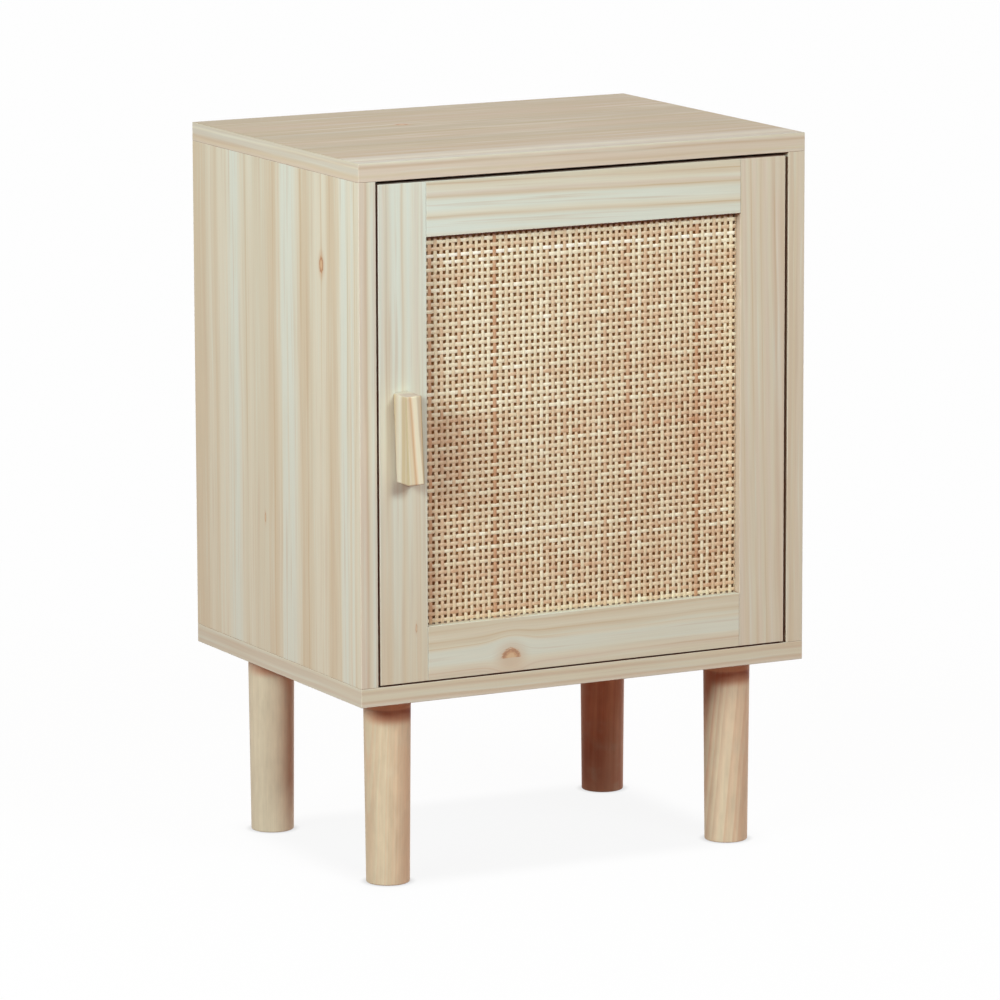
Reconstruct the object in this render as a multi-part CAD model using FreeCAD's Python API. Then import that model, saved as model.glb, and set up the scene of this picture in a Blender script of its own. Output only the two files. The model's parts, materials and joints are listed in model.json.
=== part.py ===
import FreeCAD, Part
import math
import os

# A small storage side table: a boarded cabinet on four round legs, with one
# inset door that holds a panel of woven cane.
#
# Millimetres. X is the width, Y the depth with the door at the low end, Z is up.
# The origin is on the floor, at the middle of the whole outline including the handle.

Vector = FreeCAD.Vector
RIGHT = Vector(1, 0, 0)
BACKWARD = Vector(0, 1, 0)
UP = Vector(0, 0, 1)

# Two points closer than this are taken to be the same
same_place = 0.001

# ---------------------------------------------------------------- cabinet boards
width = 400.0
depth = 300.0
height = 583.5
leg_height = 153.5
board = 15.0
edge_radius = 0.5

# Back panel, held in grooves round the four boards
back_thickness = 3.0
back_inset = 12.0
groove_depth = 6.0
groove_clearance = 0.2
groove_end_gap = 0.5

# Shelf on four supports
shelf_thickness = 15.0
shelf_setback = 35.0
shelf_side_gap = 1.0
shelf_back_gap = 1.0
support_inset = 40.0
support_pin_radius = 2.5
support_pin_length = 8.0
support_tab_length = 9.0
support_tab_width = 8.0
support_tab_height = 4.0

# ---------------------------------------------------------------- cabinet joints
fit_gap = 0.1
blind_gap = 0.5
dowel_radius = 4.0
dowel_length = 28.0
dowel_in_cap = 9.0
dowel_inset = 28.0
cam_radius = 7.4
cam_length = 12.0
cam_from_seam = 24.0
cam_inset = 60.0
bolt_radius = 3.0
bolt_in_cap = 11.0
bolt_neck_radius = 2.0
bolt_neck_length = 5.0
bolt_head_radius = 3.2
bolt_head_length = 3.0

# ---------------------------------------------------------------- legs
leg_top_radius = 19.0
leg_foot_radius = 17.5
leg_inset = 45.0
leg_foot_rounding = 1.0
hanger_radius = 4.0
hanger_in_leg = 32.0
hanger_tip_length = 5.0
insert_radius = 6.0
insert_length = 12.0

# ---------------------------------------------------------------- door
# The clearance round the door, which is wider at its hinged edge, and how far below the
# middle of its opening the door hangs
door_gap = 2.0
hinge_edge_gap = 2.9
door_drop = 0.7
door_thickness = 15.0
stile_width = 42.0
rail_height = 43.5
lip_thickness = 7.0
rebate_width = 8.0
cane_thickness = 1.6
backing_thickness = 3.0
backing_recess = 0.4
infill_gap = 0.5
door_dowel_radius = 4.0
door_dowel_length = 40.0
door_dowel_outer = 10.0
door_dowel_spacing = 16.0
pin_radius = 0.7
pin_head_radius = 1.5
pin_head_height = 0.4
pin_in_lip = 3.0
pin_spacing_limit = 120.0
pin_end_distance = 30.0

# Handle, a leaning block of wood
handle_width = 14.5
handle_projection = 20.5
handle_length = 71.0
handle_lean = 1.9
handle_drop = 1.5
handle_rounding = 1.5
handle_screw_spacing = 40.0
handle_screw_radius = 2.0
handle_screw_head_radius = 3.8
handle_screw_length = 28.0

# ---------------------------------------------------------------- hinges
open_angle = 95.0
hinge_from_end = 70.0
cup_radius = 13.0
cup_wall = 1.0
cup_floor = 0.8
cup_skin = 3.5
cup_edge_distance = 4.1
flange_thickness = 1.2
flange_overlap_edge = 1.0
flange_overlap_far = 1.5
flange_half_height = 25.0
flange_corner_radius = 6.0
flange_screw_spacing = 38.0
flange_screw_shift = 6.0
pivot_shift = 3.0
hinge_pin_radius = 1.5
hinge_pin_play = 0.06
eye_radius = 2.4
swing_gap = 0.3
arm_width = 9.0
arm_thickness = 2.0
arm_gap = 0.5
arm_bend_radius = 1.0
plate_thickness = 4.0
plate_length = 44.0
plate_width = 14.0
plate_set_forward = 1.0
wing_thickness = 2.2
wing_length = 14.0
wing_half_height = 23.0
wing_corner_radius = 4.0
wing_screw_spacing = 32.0
wing_screw_from_front = 12.0
arm_screw_from_front = 32.0
arm_overhang = 2.0
hinge_screw_radius = 1.75
hinge_screw_head_radius = 3.2
hinge_screw_length = 13.0
arm_screw_radius = 2.0
arm_screw_head_radius = 3.4

# ---------------------------------------------------------------- magnetic catch
catch_from_edge = 88.0
catch_width = 30.0
catch_height = 12.0
catch_depth = 16.0
catch_ear_length = 9.0
catch_ear_thickness = 3.0
catch_ear_inset = 4.0
catch_ear_corner_radius = 3.0
catch_gap = 0.2
magnet_width = 24.0
magnet_height = 5.0
magnet_depth = 9.0
strike_width = 34.0
strike_height = 10.0
strike_thickness = 1.2
strike_corner_radius = 2.5
strike_screw_spacing = 22.0
catch_screw_radius = 1.5
catch_screw_head_radius = 2.7
catch_screw_length = 12.0

# ---------------------------------------------------------------- screw details
tip_length = 2.0
recess_width_share = 0.22
recess_length_share = 0.62
recess_depth_share = 0.6

# ---------------------------------------------------------------- derived places
front = -(depth - handle_projection) / 2
back = front + depth
side_x = width / 2
inner_x = side_x - board
side_mid_x = side_x - board / 2
bottom_top = leg_height + board
top_under = height - board

groove_width = back_thickness + 2 * groove_clearance
groove_back = back - back_inset
groove_front = groove_back - groove_width
back_panel_front = groove_front + groove_clearance

door_x = inner_x - door_gap
hinge_edge_x = inner_x - hinge_edge_gap
door_low = bottom_top + door_gap - door_drop
door_high = top_under - door_gap - door_drop
door_back = front + door_thickness
door_middle = (door_low + door_high) / 2
opening_x = door_x - stile_width
opening_low = door_low + rail_height
opening_high = door_high - rail_height
pocket_x = opening_x + rebate_width
pocket_low = opening_low - rebate_width
pocket_high = opening_high + rebate_width
cane_front = front + lip_thickness
strip_front = cane_front + cane_thickness
backing_back = door_back - backing_recess
backing_front = backing_back - backing_thickness

shelf_front = front + shelf_setback
shelf_back = back_panel_front - shelf_back_gap
shelf_under = (bottom_top + top_under - shelf_thickness) / 2
shelf_x = inner_x - shelf_side_gap
support_rows = (shelf_front + support_inset, shelf_back - support_inset)

dowel_rows = (front + dowel_inset, back - dowel_inset)
cam_rows = (front + cam_inset, back - cam_inset)
leg_x = side_x - leg_inset
leg_rows = {"front": front + leg_inset, "back": back - leg_inset}

handle_x = -door_x + stile_width / 2
handle_z = door_middle - handle_drop

hinge_heights = {"lower": door_low + hinge_from_end, "upper": door_high - hinge_from_end}
cup_x = hinge_edge_x - cup_edge_distance - cup_radius
cup_bottom = front + cup_skin
pivot_x = cup_x + pivot_shift
pivot_y = cup_bottom + cup_floor + swing_gap + eye_radius
pin_bore_radius = hinge_pin_radius + hinge_pin_play
flange_edge_x = cup_x + cup_radius + flange_overlap_edge
flange_far_x = cup_x - cup_radius - flange_overlap_far
flange_back = door_back + flange_thickness
flange_screw_x = cup_x - flange_screw_shift

# The arm leaves the cup on the side away from the hinge edge and passes behind that
# edge, so that the open door's flange and its back corner both swing clear of it.
open_turn = math.radians(open_angle)
flange_swing = (flange_back - pivot_y) * math.sin(open_turn)
flange_swing -= (flange_edge_x - pivot_x) * math.cos(open_turn)
arm_offset = flange_swing + arm_gap + arm_thickness / 2
corner_swing = math.hypot(hinge_edge_x - pivot_x, door_back - pivot_y)
arm_back_y = pivot_y + corner_swing + arm_gap + arm_thickness / 2
plate_x = inner_x - plate_thickness
arm_base_x = plate_x - arm_thickness / 2
plate_front = arm_back_y - arm_thickness / 2 + plate_set_forward
plate_back = plate_front + plate_length
arm_end_y = plate_back - arm_overhang
wing_screw_y = plate_front + wing_screw_from_front
arm_screw_y = plate_front + arm_screw_from_front

catch_x = -door_x + catch_from_edge
catch_front = door_back + strike_thickness + catch_gap
catch_low = top_under - catch_height
catch_middle_z = top_under - catch_height / 2
catch_middle_y = catch_front + catch_depth / 2
catch_ear_x = (catch_width + catch_ear_length) / 2
strike_z = door_high - strike_height / 2


# ---------------------------------------------------------------- basic shapes
def box(x_low, x_high, y_low, y_high, z_low, z_high):
    """Return a block between two corners."""
    corner = Vector(x_low, y_low, z_low)
    return Part.makeBox(x_high - x_low, y_high - y_low, z_high - z_low, corner)


def eased_board(*limits):
    """Return a block with all of its edges slightly rounded."""
    plain = box(*limits)
    return plain.makeFillet(edge_radius, plain.Edges)


def rod(radius, start, end):
    """Return a round rod from start to end."""
    line = end.sub(start)
    return Part.makeCylinder(radius, line.Length, start, line)


def upright_edges(shape):
    """Return the straight edges of shape that run along Z."""
    found = []
    for edge in shape.Edges:
        rise = edge.BoundBox
        if rise.ZLength > rise.XLength + rise.YLength:
            found.append(edge)
    return found


def bend_corner(shape, x, y, radius):
    """Round the upright edge of shape that stands at x, y."""
    near = Vector(x, y, 0)
    edges = []
    for edge in upright_edges(shape):
        foot = edge.Vertexes[0].Point
        if Vector(foot.x, foot.y, 0).distanceToPoint(near) < same_place:
            edges.append(edge)
    return shape.makeFillet(radius, edges)


def placed(shape, place, direction):
    """Turn a shape that is built along +Z to point along direction, at place."""
    moved = shape.copy()
    moved.Placement = FreeCAD.Placement(place, FreeCAD.Rotation(UP, direction))
    return moved


def screw_body(radius, length, head_radius, gap=0.0):
    """Return a countersunk screw along +Z, with its head's face at the origin.

    With a gap it is the hole for that screw, which is open above the head.
    """
    sink = head_radius - radius
    wide = radius + gap
    head = Part.makeCone(head_radius + gap, wide, sink)
    shank = rod(wide, Vector(0, 0, sink), Vector(0, 0, length - tip_length))
    tip = Part.makeCone(wide, wide / 2, tip_length + gap, Vector(0, 0, length - tip_length))
    solid = head.fuse([shank, tip])
    if gap:
        mouth = rod(head_radius + gap, Vector(0, 0, -head_radius), Vector(0, 0, 0))
        solid = solid.fuse(mouth)
    return solid.removeSplitter()


def cross_recess(head_radius, deep):
    """Return the cross-shaped driver recess in the top of a head that faces -Z."""
    half_long = head_radius * recess_length_share
    half_wide = head_radius * recess_width_share / 2
    long_way = box(-half_long, half_long, -half_wide, half_wide, -deep, deep)
    cross_way = box(-half_wide, half_wide, -half_long, half_long, -deep, deep)
    return long_way.fuse(cross_way)


def screw(radius, length, head_radius):
    """Return a countersunk screw along +Z with a cross recess."""
    deep = (head_radius - radius) * recess_depth_share
    return screw_body(radius, length, head_radius).cut(cross_recess(head_radius, deep))


def screws_at(places, direction, size):
    """Return one screw of a size (radius, length, head radius) at each place."""
    return [placed(screw(*size), place, direction) for place in places]


def screw_holes_at(places, direction, size):
    """Return the holes for the screws that screws_at makes."""
    return [placed(screw_body(*size, gap=fit_gap), place, direction) for place in places]


# ---------------------------------------------------------------- cabinet joints
def seams():
    """Return (x, z, way) of each seam; way points along Z from cap board to side."""
    found = []
    for x in (-side_mid_x, side_mid_x):
        found.append((x, bottom_top, 1))
        found.append((x, top_under, -1))
    return found


def seam_rods(radius, rows, low, high):
    """Return upright rods across every seam, from low to high counted into the side."""
    rods = []
    for x, z, way in seams():
        for y in rows:
            rods.append(rod(radius, Vector(x, y, z + way * low), Vector(x, y, z + way * high)))
    return rods


def cam_discs(radius, length):
    """Return a disc let into the inside of each side at every cam."""
    discs = []
    for x, z, way in seams():
        outward = Vector(math.copysign(1, x), 0, 0)
        for y in cam_rows:
            face = Vector(outward.x * inner_x, y, z + way * cam_from_seam)
            discs.append(rod(radius, face, face.add(outward * length)))
    return discs


def dowels():
    return seam_rods(dowel_radius, dowel_rows, -dowel_in_cap, dowel_length - dowel_in_cap)


def cam_bolts():
    """Return the bolts that are screwed into the cap boards and held by the cams."""
    head_low = cam_from_seam - bolt_head_length / 2
    neck_low = head_low - bolt_neck_length
    shanks = seam_rods(bolt_radius, cam_rows, -bolt_in_cap, neck_low)
    necks = seam_rods(bolt_neck_radius, cam_rows, neck_low, head_low)
    heads = seam_rods(bolt_head_radius, cam_rows, head_low, head_low + bolt_head_length)
    return [shank.fuse([neck, head]) for shank, neck, head in zip(shanks, necks, heads)]


def cam_locks():
    """Return the cams, each slotted for its bolt's head and cross-recessed on its face."""
    slot_end = cam_from_seam + bolt_head_length / 2 + blind_gap
    slots = seam_rods(bolt_head_radius + fit_gap, cam_rows, 0, slot_end)
    locks = []
    for disc, slot in zip(cam_discs(cam_radius, cam_length), slots):
        middle = disc.BoundBox.Center
        outward = Vector(math.copysign(1, middle.x), 0, 0)
        face = Vector(outward.x * inner_x, middle.y, middle.z)
        recess = cross_recess(cam_radius, board - cam_length)
        locks.append(disc.cut([slot, placed(recess, face, outward)]))
    return locks


def joint_holes():
    """Return every hole for the dowels, bolts and cams of the cabinet's seams."""
    dowel_high = dowel_length - dowel_in_cap + blind_gap
    holes = seam_rods(dowel_radius + fit_gap, dowel_rows, -dowel_in_cap - blind_gap, dowel_high)
    holes += seam_rods(bolt_radius + fit_gap, cam_rows, -bolt_in_cap - blind_gap, cam_from_seam)
    holes += cam_discs(cam_radius + fit_gap, cam_length + blind_gap)
    return holes


# ---------------------------------------------------------------- cabinet boards
def back_groove():
    """Return the block that cuts the groove for the back panel in all four boards."""
    reach = inner_x + groove_depth
    low = bottom_top - groove_depth
    return box(-reach, reach, groove_front, groove_back, low, top_under + groove_depth)


def top_panel():
    plain = eased_board(-side_x, side_x, front, back, top_under, height)
    catch_holes = screw_holes_at(catch_screw_places(), UP, catch_screw_size())
    return plain.cut([back_groove()] + joint_holes() + catch_holes)


def bottom_panel():
    plain = eased_board(-side_x, side_x, front, back, leg_height, bottom_top)
    return plain.cut([back_groove()] + joint_holes() + insert_sleeves(insert_radius + fit_gap, fit_gap))


def side_panel(side):
    """Return the side board at the left, side -1, or at the right, side 1."""
    x_low, x_high = sorted((side * inner_x, side * side_x))
    plain = eased_board(x_low, x_high, front, back, bottom_top, top_under)
    return plain.cut([back_groove()] + joint_holes() + support_pin_holes())


def right_side_panel():
    holes = screw_holes_at(wing_screw_places(), RIGHT, hinge_screw_size())
    return side_panel(1).cut(holes)


def back_panel():
    reach = inner_x + groove_depth - groove_end_gap
    low = bottom_top - groove_depth + groove_end_gap
    high = top_under + groove_depth - groove_end_gap
    return box(-reach, reach, back_panel_front, back_panel_front + back_thickness, low, high)


def shelf():
    shelf_top = shelf_under + shelf_thickness
    return eased_board(-shelf_x, shelf_x, shelf_front, shelf_back, shelf_under, shelf_top)


def support_pin(side, y, radius, length):
    """Return the round peg of a shelf support, which sits in a cabinet side."""
    peg_z = shelf_under - support_tab_height / 2
    start = Vector(side * inner_x, y, peg_z)
    return rod(radius, start, start.add(Vector(side * length, 0, 0)))


def support_pin_holes():
    holes = []
    for side in (-1, 1):
        for y in support_rows:
            holes.append(support_pin(side, y, support_pin_radius + fit_gap, support_pin_length + blind_gap))
    return holes


def shelf_supports():
    """Return the pegs with a flat tab that the shelf lies on."""
    supports = []
    for side in (-1, 1):
        x_low, x_high = sorted((side * inner_x, side * (inner_x - support_tab_length)))
        for y in support_rows:
            y_low = y - support_tab_width / 2
            tab = box(x_low, x_high, y_low, y_low + support_tab_width,
                      shelf_under - support_tab_height, shelf_under)
            supports.append(tab.fuse(support_pin(side, y, support_pin_radius, support_pin_length)))
    return supports


# ---------------------------------------------------------------- legs
def leg(x, y):
    """Return a tapered round leg, bored for its hanger bolt."""
    plain = Part.makeCone(leg_foot_radius, leg_top_radius, leg_height, Vector(x, y, 0))
    foot_edges = [edge for edge in plain.Edges if edge.BoundBox.ZMax < leg_foot_rounding]
    rounded = plain.makeFillet(leg_foot_rounding, foot_edges)
    low = Vector(x, y, leg_height - hanger_in_leg - blind_gap)
    return rounded.cut(rod(hanger_radius + fit_gap, low, Vector(x, y, leg_height)))


def leg_places():
    return [(x, y) for x in (-leg_x, leg_x) for y in leg_rows.values()]


def hanger_bolts():
    """Return the bolts that stand in the legs and screw into the threaded inserts."""
    bolts = []
    for x, y in leg_places():
        tip_low = Vector(x, y, leg_height - hanger_in_leg)
        shank_low = tip_low.add(UP * hanger_tip_length)
        tip = Part.makeCone(hanger_radius / 2, hanger_radius, hanger_tip_length, tip_low)
        shank = rod(hanger_radius, shank_low, Vector(x, y, leg_height + insert_length - blind_gap))
        bolts.append(tip.fuse(shank).removeSplitter())
    return bolts


def insert_sleeves(radius, extra):
    """Return rods of the threaded inserts' outline, in the underside of the cabinet."""
    sleeves = []
    for x, y in leg_places():
        low = Vector(x, y, leg_height)
        sleeves.append(rod(radius, low, low.add(UP * (insert_length + extra))))
    return sleeves


def threaded_inserts():
    inserts = []
    for (x, y), sleeve in zip(leg_places(), insert_sleeves(insert_radius, 0)):
        low = Vector(x, y, leg_height)
        bore = rod(hanger_radius + fit_gap, low, low.add(UP * insert_length))
        inserts.append(sleeve.cut(bore))
    return inserts


# ---------------------------------------------------------------- door
def door_pocket():
    """Return the block that cuts the rebate behind the door's opening."""
    return box(-pocket_x, pocket_x, cane_front, door_back, pocket_low, pocket_high)


def door_rods(radius, extra):
    """Return the rods of the dowels between stiles and rails."""
    y = front + door_thickness / 2
    reach = door_dowel_length / 2 + extra
    outer = (door_dowel_outer, door_dowel_outer + door_dowel_spacing)
    heights = [door_low + step for step in outer] + [door_high - step for step in outer]
    rods = []
    for x in (-opening_x, opening_x):
        for z in heights:
            rods.append(rod(radius, Vector(x - reach, y, z), Vector(x + reach, y, z)))
    return rods


def pin_places():
    """Return where the backing's pins stand, on its back face, all round the rebate."""
    x_edge = (opening_x + pocket_x) / 2
    z_low = (opening_low + pocket_low) / 2
    z_high = (opening_high + pocket_high) / 2
    places = []
    for x in spread(-opening_x + pin_end_distance, opening_x - pin_end_distance, pin_spacing_limit):
        places += [Vector(x, backing_back, z_low), Vector(x, backing_back, z_high)]
    for z in spread(opening_low + pin_end_distance, opening_high - pin_end_distance, pin_spacing_limit):
        places += [Vector(-x_edge, backing_back, z), Vector(x_edge, backing_back, z)]
    return places


def spread(low, high, limit):
    """Return evenly spaced values from low to high that are no further apart than limit."""
    steps = math.ceil((high - low) / limit)
    return [low + (high - low) * index / steps for index in range(steps + 1)]


def pin_rods(radius, extra):
    end = cane_front - pin_in_lip - extra
    return [rod(radius, place, Vector(place.x, end, place.z)) for place in pin_places()]


def backing_pins():
    """Return the headed pins that hold backing, strips and cane in the rebate."""
    pins = []
    for place, shank in zip(pin_places(), pin_rods(pin_radius, 0)):
        head = rod(pin_head_radius, place, place.add(BACKWARD * pin_head_height))
        pins.append(shank.fuse(head).removeSplitter())
    return pins


def door_holes():
    """Return every hole in the door's frame but those of the hinges."""
    holes = [door_pocket()]
    holes += door_rods(door_dowel_radius + fit_gap, blind_gap)
    holes += pin_rods(pin_radius + fit_gap, blind_gap)
    return holes


def door_stile(x_low, x_high):
    """Return an upright of the door's frame."""
    return eased_board(x_low, x_high, front, door_back, door_low, door_high).cut(door_holes())


def door_left_stile():
    holes = screw_holes_at(handle_screw_places(), -BACKWARD, handle_screw_size())
    return door_stile(-door_x, -opening_x).cut(holes)


def door_right_stile():
    cuts = screw_holes_at(flange_screw_places(), -BACKWARD, hinge_screw_size())
    for z in hinge_heights.values():
        cuts.append(cup_rod(z, cup_radius + fit_gap, cup_bottom - fit_gap, door_back))
    return door_stile(opening_x, hinge_edge_x).cut(cuts)


def door_rail(z_low):
    """Return the crosspiece of the door's frame whose lower edge is at z_low."""
    plain = eased_board(-opening_x, opening_x, front, door_back, z_low, z_low + rail_height)
    return plain.cut(door_holes())


def door_top_rail():
    holes = screw_holes_at(strike_screw_places(), -BACKWARD, catch_screw_size())
    return door_rail(opening_high).cut(holes)


def infill(y_low, y_high):
    """Return a sheet that fills the door's rebate between two depths, with its pin holes."""
    reach = pocket_x - infill_gap
    sheet = box(-reach, reach, y_low, y_high, pocket_low + infill_gap, pocket_high - infill_gap)
    return sheet.cut(pin_rods(pin_radius + fit_gap, blind_gap))


def cane_webbing():
    return infill(cane_front, strip_front)


def door_backing_panel():
    return infill(backing_front, backing_back)


def cane_retaining_strips():
    """Return the four strips that press the cane against the lip of the frame."""
    ring = infill(strip_front, backing_front)
    outlines = [
        (-pocket_x, pocket_x, pocket_low, opening_low),
        (-pocket_x, pocket_x, opening_high, pocket_high),
        (-pocket_x, -opening_x, opening_low, opening_high),
        (opening_x, pocket_x, opening_low, opening_high),
    ]
    strips = []
    for x_low, x_high, z_low, z_high in outlines:
        strips.append(ring.common(box(x_low, x_high, strip_front, backing_front, z_low, z_high)))
    return strips


# ---------------------------------------------------------------- handle
def handle_lean_turn():
    return FreeCAD.Rotation(BACKWARD, -handle_lean)


def handle():
    """Return the block handle, rounded on all edges that don't meet the door."""
    half_wide = handle_width / 2
    half_long = handle_length / 2
    plain = box(-half_wide, half_wide, -handle_projection, 0, -half_long, half_long)
    free_edges = [edge for edge in plain.Edges if edge.BoundBox.YMin < -handle_rounding]
    block = plain.makeFillet(handle_rounding, free_edges)
    block.Placement = FreeCAD.Placement(Vector(handle_x, front, handle_z), handle_lean_turn())
    return block.cut(screw_holes_at(handle_screw_places(), -BACKWARD, handle_screw_size()))


def handle_screw_places():
    """Return where the handle's screws start, on the back of the left stile."""
    places = []
    for side in (-1, 1):
        along = handle_lean_turn().multVec(UP * (side * handle_screw_spacing / 2))
        places.append(Vector(handle_x + along.x, door_back, handle_z + along.z))
    return places


def handle_screw_size():
    return handle_screw_radius, handle_screw_length, handle_screw_head_radius


# ---------------------------------------------------------------- hinges
def hinge_screw_size():
    return hinge_screw_radius, hinge_screw_length, hinge_screw_head_radius


def cup_rod(z, radius, y_low, y_high):
    """Return a rod on the axis of a hinge cup, between two depths."""
    return rod(radius, Vector(cup_x, y_low, z), Vector(cup_x, y_high, z))


def flange_screw_places():
    places = []
    for z in hinge_heights.values():
        for side in (-1, 1):
            places.append(Vector(flange_screw_x, flange_back, z + side * flange_screw_spacing / 2))
    return places


def pivot_rod(z, radius, half):
    """Return a rod on the door's turning axis that reaches half to each side of z."""
    return rod(radius, Vector(pivot_x, pivot_y, z - half), Vector(pivot_x, pivot_y, z + half))


def hinge_cup(z):
    """Return the cup with its flange, which is let into the back of the right stile."""
    flange = box(flange_far_x, flange_edge_x, door_back, flange_back,
                 z - flange_half_height, z + flange_half_height)
    corners = [edge for edge in flange.Edges if edge.BoundBox.YLength > flange_thickness / 2]
    flange = flange.makeFillet(flange_corner_radius, corners)
    shell = cup_rod(z, cup_radius, cup_bottom, door_back)
    hollow = cup_rod(z, cup_radius - cup_wall, cup_bottom + cup_floor, flange_back)
    holes = screw_holes_at(flange_screw_places(), -BACKWARD, hinge_screw_size())
    pin_hole = pivot_rod(z, pin_bore_radius, cup_radius)
    return flange.fuse(shell).cut([hollow, pin_hole] + holes)


def hinge_pins():
    """Return the pivot pins, which end inside the walls of their cups."""
    half = math.sqrt(cup_radius ** 2 - (pivot_shift + hinge_pin_radius) ** 2) - fit_gap
    return [pivot_rod(z, hinge_pin_radius, half) for z in hinge_heights.values()]


def hinge_arm(z):
    """Return the cranked arm that runs from the pin in the cup to its mounting plate."""
    half = arm_thickness / 2
    z_low = z - arm_width / 2
    z_high = z + arm_width / 2
    out_x = pivot_x - arm_offset
    reach = box(out_x - half, pivot_x, pivot_y - half, pivot_y + half, z_low, z_high)
    rise = box(out_x - half, out_x + half, pivot_y - half, arm_back_y + half, z_low, z_high)
    cross = box(out_x - half, arm_base_x + half, arm_back_y - half, arm_back_y + half, z_low, z_high)
    base = box(arm_base_x - half, arm_base_x + half, arm_back_y - half, arm_end_y, z_low, z_high)
    strip = reach.fuse([rise, cross, base]).removeSplitter()
    outer = arm_bend_radius + arm_thickness
    strip = bend_corner(strip, out_x - half, pivot_y - half, outer)
    strip = bend_corner(strip, out_x + half, pivot_y + half, arm_bend_radius)
    strip = bend_corner(strip, out_x - half, arm_back_y + half, outer)
    strip = bend_corner(strip, out_x + half, arm_back_y - half, arm_bend_radius)
    strip = bend_corner(strip, arm_base_x + half, arm_back_y - half, outer)
    strip = bend_corner(strip, arm_base_x - half, arm_back_y + half, arm_bend_radius)
    eye = pivot_rod(z, eye_radius, arm_width / 2)
    bore = pivot_rod(z, pin_bore_radius, arm_width / 2)
    screw_hole = screw_holes_at([arm_screw_place(z)], RIGHT, arm_screw_size())
    return strip.fuse(eye).cut([bore] + screw_hole)


def arm_screw_place(z):
    return Vector(arm_base_x - arm_thickness / 2, arm_screw_y, z)


def arm_screw_size():
    length = arm_thickness + plate_thickness - blind_gap
    return arm_screw_radius, length, arm_screw_head_radius


def wing_screw_places():
    places = []
    for z in hinge_heights.values():
        for side in (-1, 1):
            places.append(Vector(inner_x - wing_thickness, wing_screw_y, z + side * wing_screw_spacing / 2))
    return places


def hinge_plate(z):
    """Return the winged plate that carries a hinge arm on the right side board."""
    half_wide = plate_width / 2
    body = box(plate_x, inner_x, plate_front, plate_back, z - half_wide, z + half_wide)
    wing_low = wing_screw_y - wing_length / 2
    wing = box(inner_x - wing_thickness, inner_x, wing_low, wing_low + wing_length,
               z - wing_half_height, z + wing_half_height)
    corners = [edge for edge in wing.Edges if edge.BoundBox.XLength > wing_thickness / 2]
    wing = wing.makeFillet(wing_corner_radius, corners)
    holes = screw_holes_at(wing_screw_places(), RIGHT, hinge_screw_size())
    holes += screw_holes_at([arm_screw_place(z)], RIGHT, arm_screw_size())
    return body.fuse(wing).cut(holes).removeSplitter()


def hinge_arm_screws():
    places = [arm_screw_place(z) for z in hinge_heights.values()]
    return screws_at(places, RIGHT, arm_screw_size())


# ---------------------------------------------------------------- magnetic catch
def catch_screw_size():
    return catch_screw_radius, catch_screw_length, catch_screw_head_radius


def catch_screw_places():
    ear_low = top_under - catch_ear_thickness
    return [Vector(catch_x + side * catch_ear_x, catch_middle_y, ear_low) for side in (-1, 1)]


def strike_screw_places():
    face = door_back + strike_thickness
    half = strike_screw_spacing / 2
    return [Vector(catch_x + side * half, face, strike_z) for side in (-1, 1)]


def magnet_block():
    return box(catch_x - magnet_width / 2, catch_x + magnet_width / 2,
               catch_front, catch_front + magnet_depth,
               catch_middle_z - magnet_height / 2, catch_middle_z + magnet_height / 2)


def catch_housing():
    """Return the catch's body with its two screw ears and the pocket of its magnet."""
    catch_back = catch_front + catch_depth
    body = box(catch_x - catch_width / 2, catch_x + catch_width / 2,
               catch_front, catch_back, catch_low, top_under)
    body = body.makeFillet(edge_radius, body.Edges)
    ear_reach = catch_width / 2 + catch_ear_length
    ears = box(catch_x - ear_reach, catch_x + ear_reach,
               catch_front + catch_ear_inset, catch_back - catch_ear_inset,
               top_under - catch_ear_thickness, top_under)
    ears = ears.makeFillet(catch_ear_corner_radius, upright_edges(ears))
    holes = screw_holes_at(catch_screw_places(), UP, catch_screw_size())
    return body.fuse(ears).cut([magnet_block()] + holes)


def strike_plate():
    plate = box(catch_x - strike_width / 2, catch_x + strike_width / 2,
                door_back, door_back + strike_thickness,
                strike_z - strike_height / 2, strike_z + strike_height / 2)
    corners = [edge for edge in plate.Edges if edge.BoundBox.YLength > strike_thickness / 2]
    plate = plate.makeFillet(strike_corner_radius, corners)
    return plate.cut(screw_holes_at(strike_screw_places(), -BACKWARD, catch_screw_size()))


# ---------------------------------------------------------------- assembly
def cabinet_nodes():
    nodes = {
        "top_panel": top_panel(),
        "bottom_panel": bottom_panel(),
        "left_side_panel": side_panel(-1),
        "right_side_panel": right_side_panel(),
        "back_panel": back_panel(),
        "shelf": shelf(),
        "shelf_supports": shelf_supports(),
        "panel_dowels": dowels(),
        "cam_bolts": cam_bolts(),
        "cam_locks": cam_locks(),
        "hanger_bolts": hanger_bolts(),
        "threaded_inserts": threaded_inserts(),
        "hinge_arm_screws": hinge_arm_screws(),
        "hinge_plate_screws": screws_at(wing_screw_places(), RIGHT, hinge_screw_size()),
        "catch_housing": catch_housing(),
        "catch_magnet": magnet_block(),
        "catch_screws": screws_at(catch_screw_places(), UP, catch_screw_size()),
    }
    for row, y in leg_rows.items():
        nodes[row + "_left_leg"] = leg(-leg_x, y)
        nodes[row + "_right_leg"] = leg(leg_x, y)
    for level, z in hinge_heights.items():
        nodes[level + "_hinge_arm"] = hinge_arm(z)
        nodes[level + "_hinge_plate"] = hinge_plate(z)
    return nodes


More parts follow.
